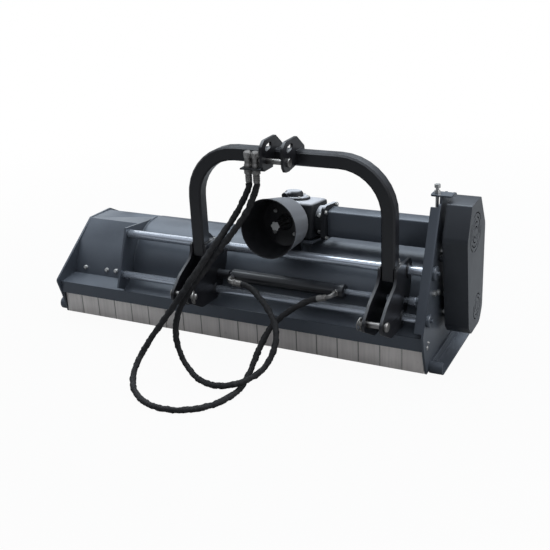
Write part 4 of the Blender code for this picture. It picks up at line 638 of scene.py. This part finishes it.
ferrules = bmesh.new()
for x, y, _ in COUPLER_MOUTHS:
    for z in COUPLER_CRIMPS:
        turned(ferrules, ring(*COUPLER_CRIMP), (x, y, z), UP)
    hexagon(ferrules, (x, y, COUPLER_NUT), UP, size=0.0180, inner=0.0100, washer=False)
    for z in KNURLS:
        turned(ferrules, ring(*KNURL), (x, y, z), UP)
for mouth, way_in in CYLINDER_PORTS:
    mouth, way_in = Vector(mouth), Vector(way_in)
    for step in PORT_CRIMPS:
        turned(ferrules, ring(*PORT_CRIMP), mouth - way_in * step, way_in)
    hexagon(ferrules, mouth - way_in * PORT_NUT, way_in, size=0.0135, inner=0.0080, washer=False)
fitted("hose_fittings", ferrules, dull_zinc, "hitch")


# Skids.  Each is a strip of plate curled up in front, with an upright flange bolted to the
# side plate, under the deck's coat.

for name in ("left_skid", "right_skid"):
    dressed(name, graphite, "deck", edge=0.0008)


# Front flaps.  Nineteen strips of bare rolled steel that hang side by side on one rod, greyed
# by handling, with spots of rust, and grime and painted shade of the gaps along both edges of each.

FLAPS = 19
lefts = [min(vert.co.x for vert in solids[f"front_flap_{i:02d}"].data.vertices) for i in (1, 2)]
flap_pitch = lefts[1] - lefts[0]

bare = Finish("bare_flap_steel", Metallic=0.35, Specular_IOR_Level=0.5)
streak = bare.ramp(bare.grain(90.0, detail=4.0, rough=0.6, stretch=(1.0, 1.0, 0.04)),
                   (0.35, 0.0), (0.62, 1.0))
cloud = bare.ramp(bare.grain(11.0, detail=4.0), (0.3, 0.0), (0.7, 1.0))
rust = bare.ramp(bare.grain(38.0, detail=6.0, rough=0.7), (0.62, 0.0), (0.74, 1.0))
steel = bare.mix(streak * 0.5 + cloud * 0.5, (0.74, 0.685, 0.645), (0.96, 0.895, 0.85))
spotted = bare.mix(rust * 0.20, steel, (0.17, 0.10, 0.065))
strip = bare.node("ShaderNodeObjectInfo", output="Random")
handled = bare.mix(strip * 0.30, spotted, (0.56, 0.52, 0.50))
# Dark bands along both edges of each strip: grime, and painted shade of the gaps between strips.
across = bare.maths("FRACT", (bare.apart(bare.place(), 0) - lefts[0]) / flap_pitch)
edge_grime_and_shade = bare.ramp(bare.maths("ABSOLUTE", across - 0.5), (0.462, 0.0), (0.492, 1.0))
bare.wire(Base_Color=bare.mix(edge_grime_and_shade * 0.80, handled, (0.07, 0.06, 0.05)),
          Roughness=0.42 + cloud * 0.18, Normal=bare.bump(streak, strength=0.15, distance=0.0004))
for i in range(1, FLAPS + 1):
    dressed(f"front_flap_{i:02d}", bare.material, f"flap_{i:02d}")


# Guide bars and the cylinder's rod.  Ground and chromed steel; each bar runs from the bulkhead
# through the tall plate and ends outside it in a disc that has the deck's coat.

DISCS_FROM = 0.7617
ground_chrome = bright_metal("ground_chrome", (0.52, 0.56, 0.63), gloss=0.22, metallic=0.75,
                             scratch=0.0, wear=0.25)
for name in ("upper_guide_bar", "lower_guide_bar", "cylinder_rod"):
    dressed(name, ground_chrome, "deck", other=graphite,
            where=lambda centre, normal: DISCS_FROM < centre.x)


# Rods, pins, screw and shafts.  Turned steel under a thin zinc plate, rubbed dull on the pins
# that the tractor's links turn on; clips and lock nuts hold them endways.

for name in ("flap_rod", "tensioner_screw"):
    dressed(name, zinc, "deck")
for name in ("left_hitch_pin", "right_hitch_pin", "top_link_pin"):
    dressed(name, dull_zinc, "hitch")
dressed("drive_shaft", zinc, "drive_set")
dressed("input_shaft", zinc, "input")


# Gearbox, bearing housings and pulleys.  Sand castings under thin dark paint, with dust and a
# painted highlight on top; the gearbox leans back round the cross shaft, with its cover and neck
# bolted on and its oil plugs screwed in.

LEAN = math.radians(8.0)
CROSS_Y, CROSS_Z = -0.023, 0.473
INPUT_X, GUARD_FOOT_Y = 0.1885, -0.1243
COVER_X, COVER_Y, ABOVE_COVER = 0.1845, -0.025, 0.62
COVER_CIRCLE, COVER_BOLTS = 0.0450, (10, 70, 130, 190, 310)
NECK_END, NECK_BOLTS = 0.42, [(y, z) for y in (-0.052, 0.052) for z in (-0.048, 0.050)]
PLUG_X, PLUG_HEIGHTS, BEFORE_PLUGS = 0.300, (0.440, 0.500), -0.30
SEAL = ((0.0186, 0.0), (0.0285, 0.0), (0.0285, 0.0040), (0.0250, 0.0060), (0.0186, 0.0060),
        (0.0186, 0.0))

cast = Finish("painted_casting", Metallic=0.1, Specular_IOR_Level=0.25)
sand = cast.grain(260.0, detail=4.0, rough=0.65)
patch = cast.ramp(cast.grain(16.0, detail=4.0), (0.35, 0.0), (0.7, 1.0))
paint = cast.mix(patch * 0.5, (0.007, 0.008, 0.010), (0.017, 0.018, 0.021))
# What faces up is painted pale grey: a painted highlight on top, with some dust.
dust_and_top_sheen = cast.ramp(cast.facing_up(), (0.55, 0.0), (0.97, 1.0))
cast.wire(Base_Color=cast.mix(dust_and_top_sheen * 0.60, paint, (0.60, 0.61, 0.65)),
          Roughness=0.42 + sand * 0.2, Normal=cast.bump(sand, strength=0.35, distance=0.0008))
for name, body in (("gearbox_housing", "deck"), ("left_rotor_bearing", "deck"),
                   ("right_rotor_bearing", "deck"), ("upper_pulley", "drive_set"),
                   ("lower_pulley", "rotor_set")):
    dressed(name, cast.material, body, edge=0.0008)


def leaning(x, y, z):
    """A place on the upright gearbox, as it leans back round the cross shaft."""
    behind, above = y - CROSS_Y, z - CROSS_Z
    return Vector((x, CROSS_Y + behind * math.cos(LEAN) + above * math.sin(LEAN),
                   CROSS_Z - behind * math.sin(LEAN) + above * math.cos(LEAN)))


def bolt_circle(x, y, radius, angles):
    """Places round a centre, by angles in degrees."""
    turns = [math.radians(angle) for angle in angles]
    return [(x + radius * math.cos(turn), y + radius * math.sin(turn)) for turn in turns]


upward = leaning(0, 0, 1) - leaning(0, 0, 0)
ahead = leaning(0, -1, 0) - leaning(0, 0, 0)
bolts("gearbox_cover_bolts", "gearbox_housing",
      [(leaning(x, y, ABOVE_COVER), -upward)
       for x, y in bolt_circle(COVER_X, COVER_Y, COVER_CIRCLE, COVER_BOLTS)], size=0.0055)
bolts("neck_flange_bolts", "gearbox_housing",
      [((NECK_END, CROSS_Y + y, CROSS_Z + z), LEFT) for y, z in NECK_BOLTS], size=0.0085)
bolts("gearbox_plugs", "gearbox_housing",
      [(leaning(PLUG_X, BEFORE_PLUGS, z), -ahead) for z in PLUG_HEIGHTS], size=0.0075)
guard_foot = leaning(INPUT_X, GUARD_FOOT_Y, CROSS_Z)
seal = bmesh.new()
turned(seal, SEAL, guard_foot, ahead, sides=32)
fitted("input_seal", seal, cast.material, "deck")


# Drive guard.  An open can round the splined shaft, satin grey outside and painted near black
# within as the shade inside it, with its rim rolled over and four bolts through its rear wall
# into the gearbox.

GUARD_MOUTH_Y, RIM_RADIUS, RIM_ROLL, ROLL_SIDES = -0.2675, 0.1066, 0.0020, 8
IN_THE_CAN, WALL_CIRCLE, WALL_BOLTS = -0.20, 0.056, (45, 135, 225, 315)
OUTWARD = 0.3                                       # the least that an outer face looks out

# The inner faces and the rolled rim are painted near black for the shade in the can, with scuffs.
lining = Finish("painted_shade_lining", Specular_IOR_Level=0.4)
pores = lining.grain(700.0, detail=2.0)
scuff = lining.ramp(lining.grain(30.0, detail=6.0, rough=0.7), (0.45, 0.0), (0.8, 1.0))
lining.wire(Base_Color=lining.mix(scuff * 0.3, (0.014, 0.014, 0.016), (0.05, 0.05, 0.053)),
            Roughness=0.34 + scuff * 0.25, Normal=lining.bump(pores, strength=0.12, distance=0.0004))
satin = powder_coat("satin_coat", (0.200, 0.207, 0.225), gloss=0.28, metal=0.45, top_dust_and_sheen=0.25)


def outer_face(centre, normal):
    """Whether a face of the can looks away from its axis."""
    reach = centre - guard_foot
    reach -= ahead * reach.dot(ahead)
    return reach.normalized().dot(normal) > OUTWARD


dressed("pto_guard", lining.material, "deck", edge=0.0006, other=satin,
        where=outer_face)
rim = bmesh.new()
turned(rim, [(RIM_RADIUS + RIM_ROLL * math.cos(math.tau * k / ROLL_SIDES),
              RIM_ROLL * math.sin(math.tau * k / ROLL_SIDES)) for k in range(ROLL_SIDES + 1)],
       leaning(INPUT_X, GUARD_MOUTH_Y, CROSS_Z), ahead, sides=64)
fitted("guard_rim", rim, lining.material, "deck", crease=60.0)
bolts("guard_bolts", "pto_guard",
      [(leaning(x, IN_THE_CAN, z), -ahead)
       for x, z in bolt_circle(INPUT_X, CROSS_Z, WALL_CIRCLE, WALL_BOLTS)], size=0.0075)


# Belt guard.  A backplate on four spacers, open round both shafts, and a shallow pressed cover
# with vents at both pulleys, under a coat that is darker than the deck's.

guard_coat = powder_coat("guard_coat", (0.025, 0.028, 0.034), gloss=0.34, metal=0.30, top_dust_and_sheen=0.25)
for name in ("belt_guard_backplate", "belt_guard_cover"):
    dressed(name, guard_coat, "deck", edge=0.0006)


# Belts.  Three wedge belts side by side in the pulleys' grooves, black rubber over cords with
# a rubbed, matt face.

belt_rubber = Finish("belt_rubber", Specular_IOR_Level=0.3)
cords = belt_rubber.grain(300.0, detail=3.0)
belt_rubber.wire(Base_Color=belt_rubber.mix(cords, (0.008, 0.008, 0.008), (0.022, 0.021, 0.020)),
                 Roughness=0.65 + cords * 0.2,
                 Normal=belt_rubber.bump(cords, strength=0.3, distance=0.0005))
for i in (1, 2, 3):
    dressed(f"v_belt_{i}", belt_rubber.material, "deck")


# Rear roller.  A thick painted tube that the machine runs on, between its two brackets, with
# a turned disc and a collar on each end.

ROLLER_Y, ROLLER_Z = 0.362, 0.068
ROLLER_ENDS = ((0.7415, 1), (-0.7985, -1))          # x, which way out
DISC, COLLAR = (0.0150, 0.0560, 0.0026), (0.0150, 0.0300, 0.0034)

roller_coat = powder_coat("roller_coat", (0.050, 0.052, 0.058), gloss=0.40, metal=0.3, top_dust_and_sheen=0.35)
dressed("rear_roller", roller_coat, "roller")
ends = bmesh.new()
for x, out in ROLLER_ENDS:
    turned(ends, ring(*DISC), (x, ROLLER_Y, ROLLER_Z), (out, 0, 0), sides=48)
    turned(ends, ring(*COLLAR), (x, ROLLER_Y, ROLLER_Z), (out, 0, 0), sides=32)
fitted("roller_end_discs", ends, zinc, "roller")


# Rotor.  A steel tube on stub shafts with sixteen hammers in a double spiral, each on a bolt
# between two welded lugs, with a head on one side and a nut on the other.

ROTOR_Y, ROTOR_Z = 0.040, 0.188
HAMMERS, FIRST_HAMMER, SPIRAL_LENGTH = 16, -0.7555, 1.454
TURN_ON = 22.5                                      # degrees, and every other one half round
HAMMER_EYE, LUG_OUT = 0.074, 0.0200

dressed("rotor", roller_coat, "rotor_set", edge=0.0006)
heads = bmesh.new()
for i in range(HAMMERS):
    x = FIRST_HAMMER + i * (SPIRAL_LENGTH / (HAMMERS - 1))
    turn = math.radians(180.0 * (i % 2) + TURN_ON * i)
    y, z = ROTOR_Y - HAMMER_EYE * math.sin(turn), ROTOR_Z + HAMMER_EYE * math.cos(turn)
    for out in (-1, 1):
        hexagon(heads, (x + out * LUG_OUT, y, z), (out, 0, 0), size=0.0095, washer=False)
fitted("hammer_bolts", heads, zinc, "rotor_set")
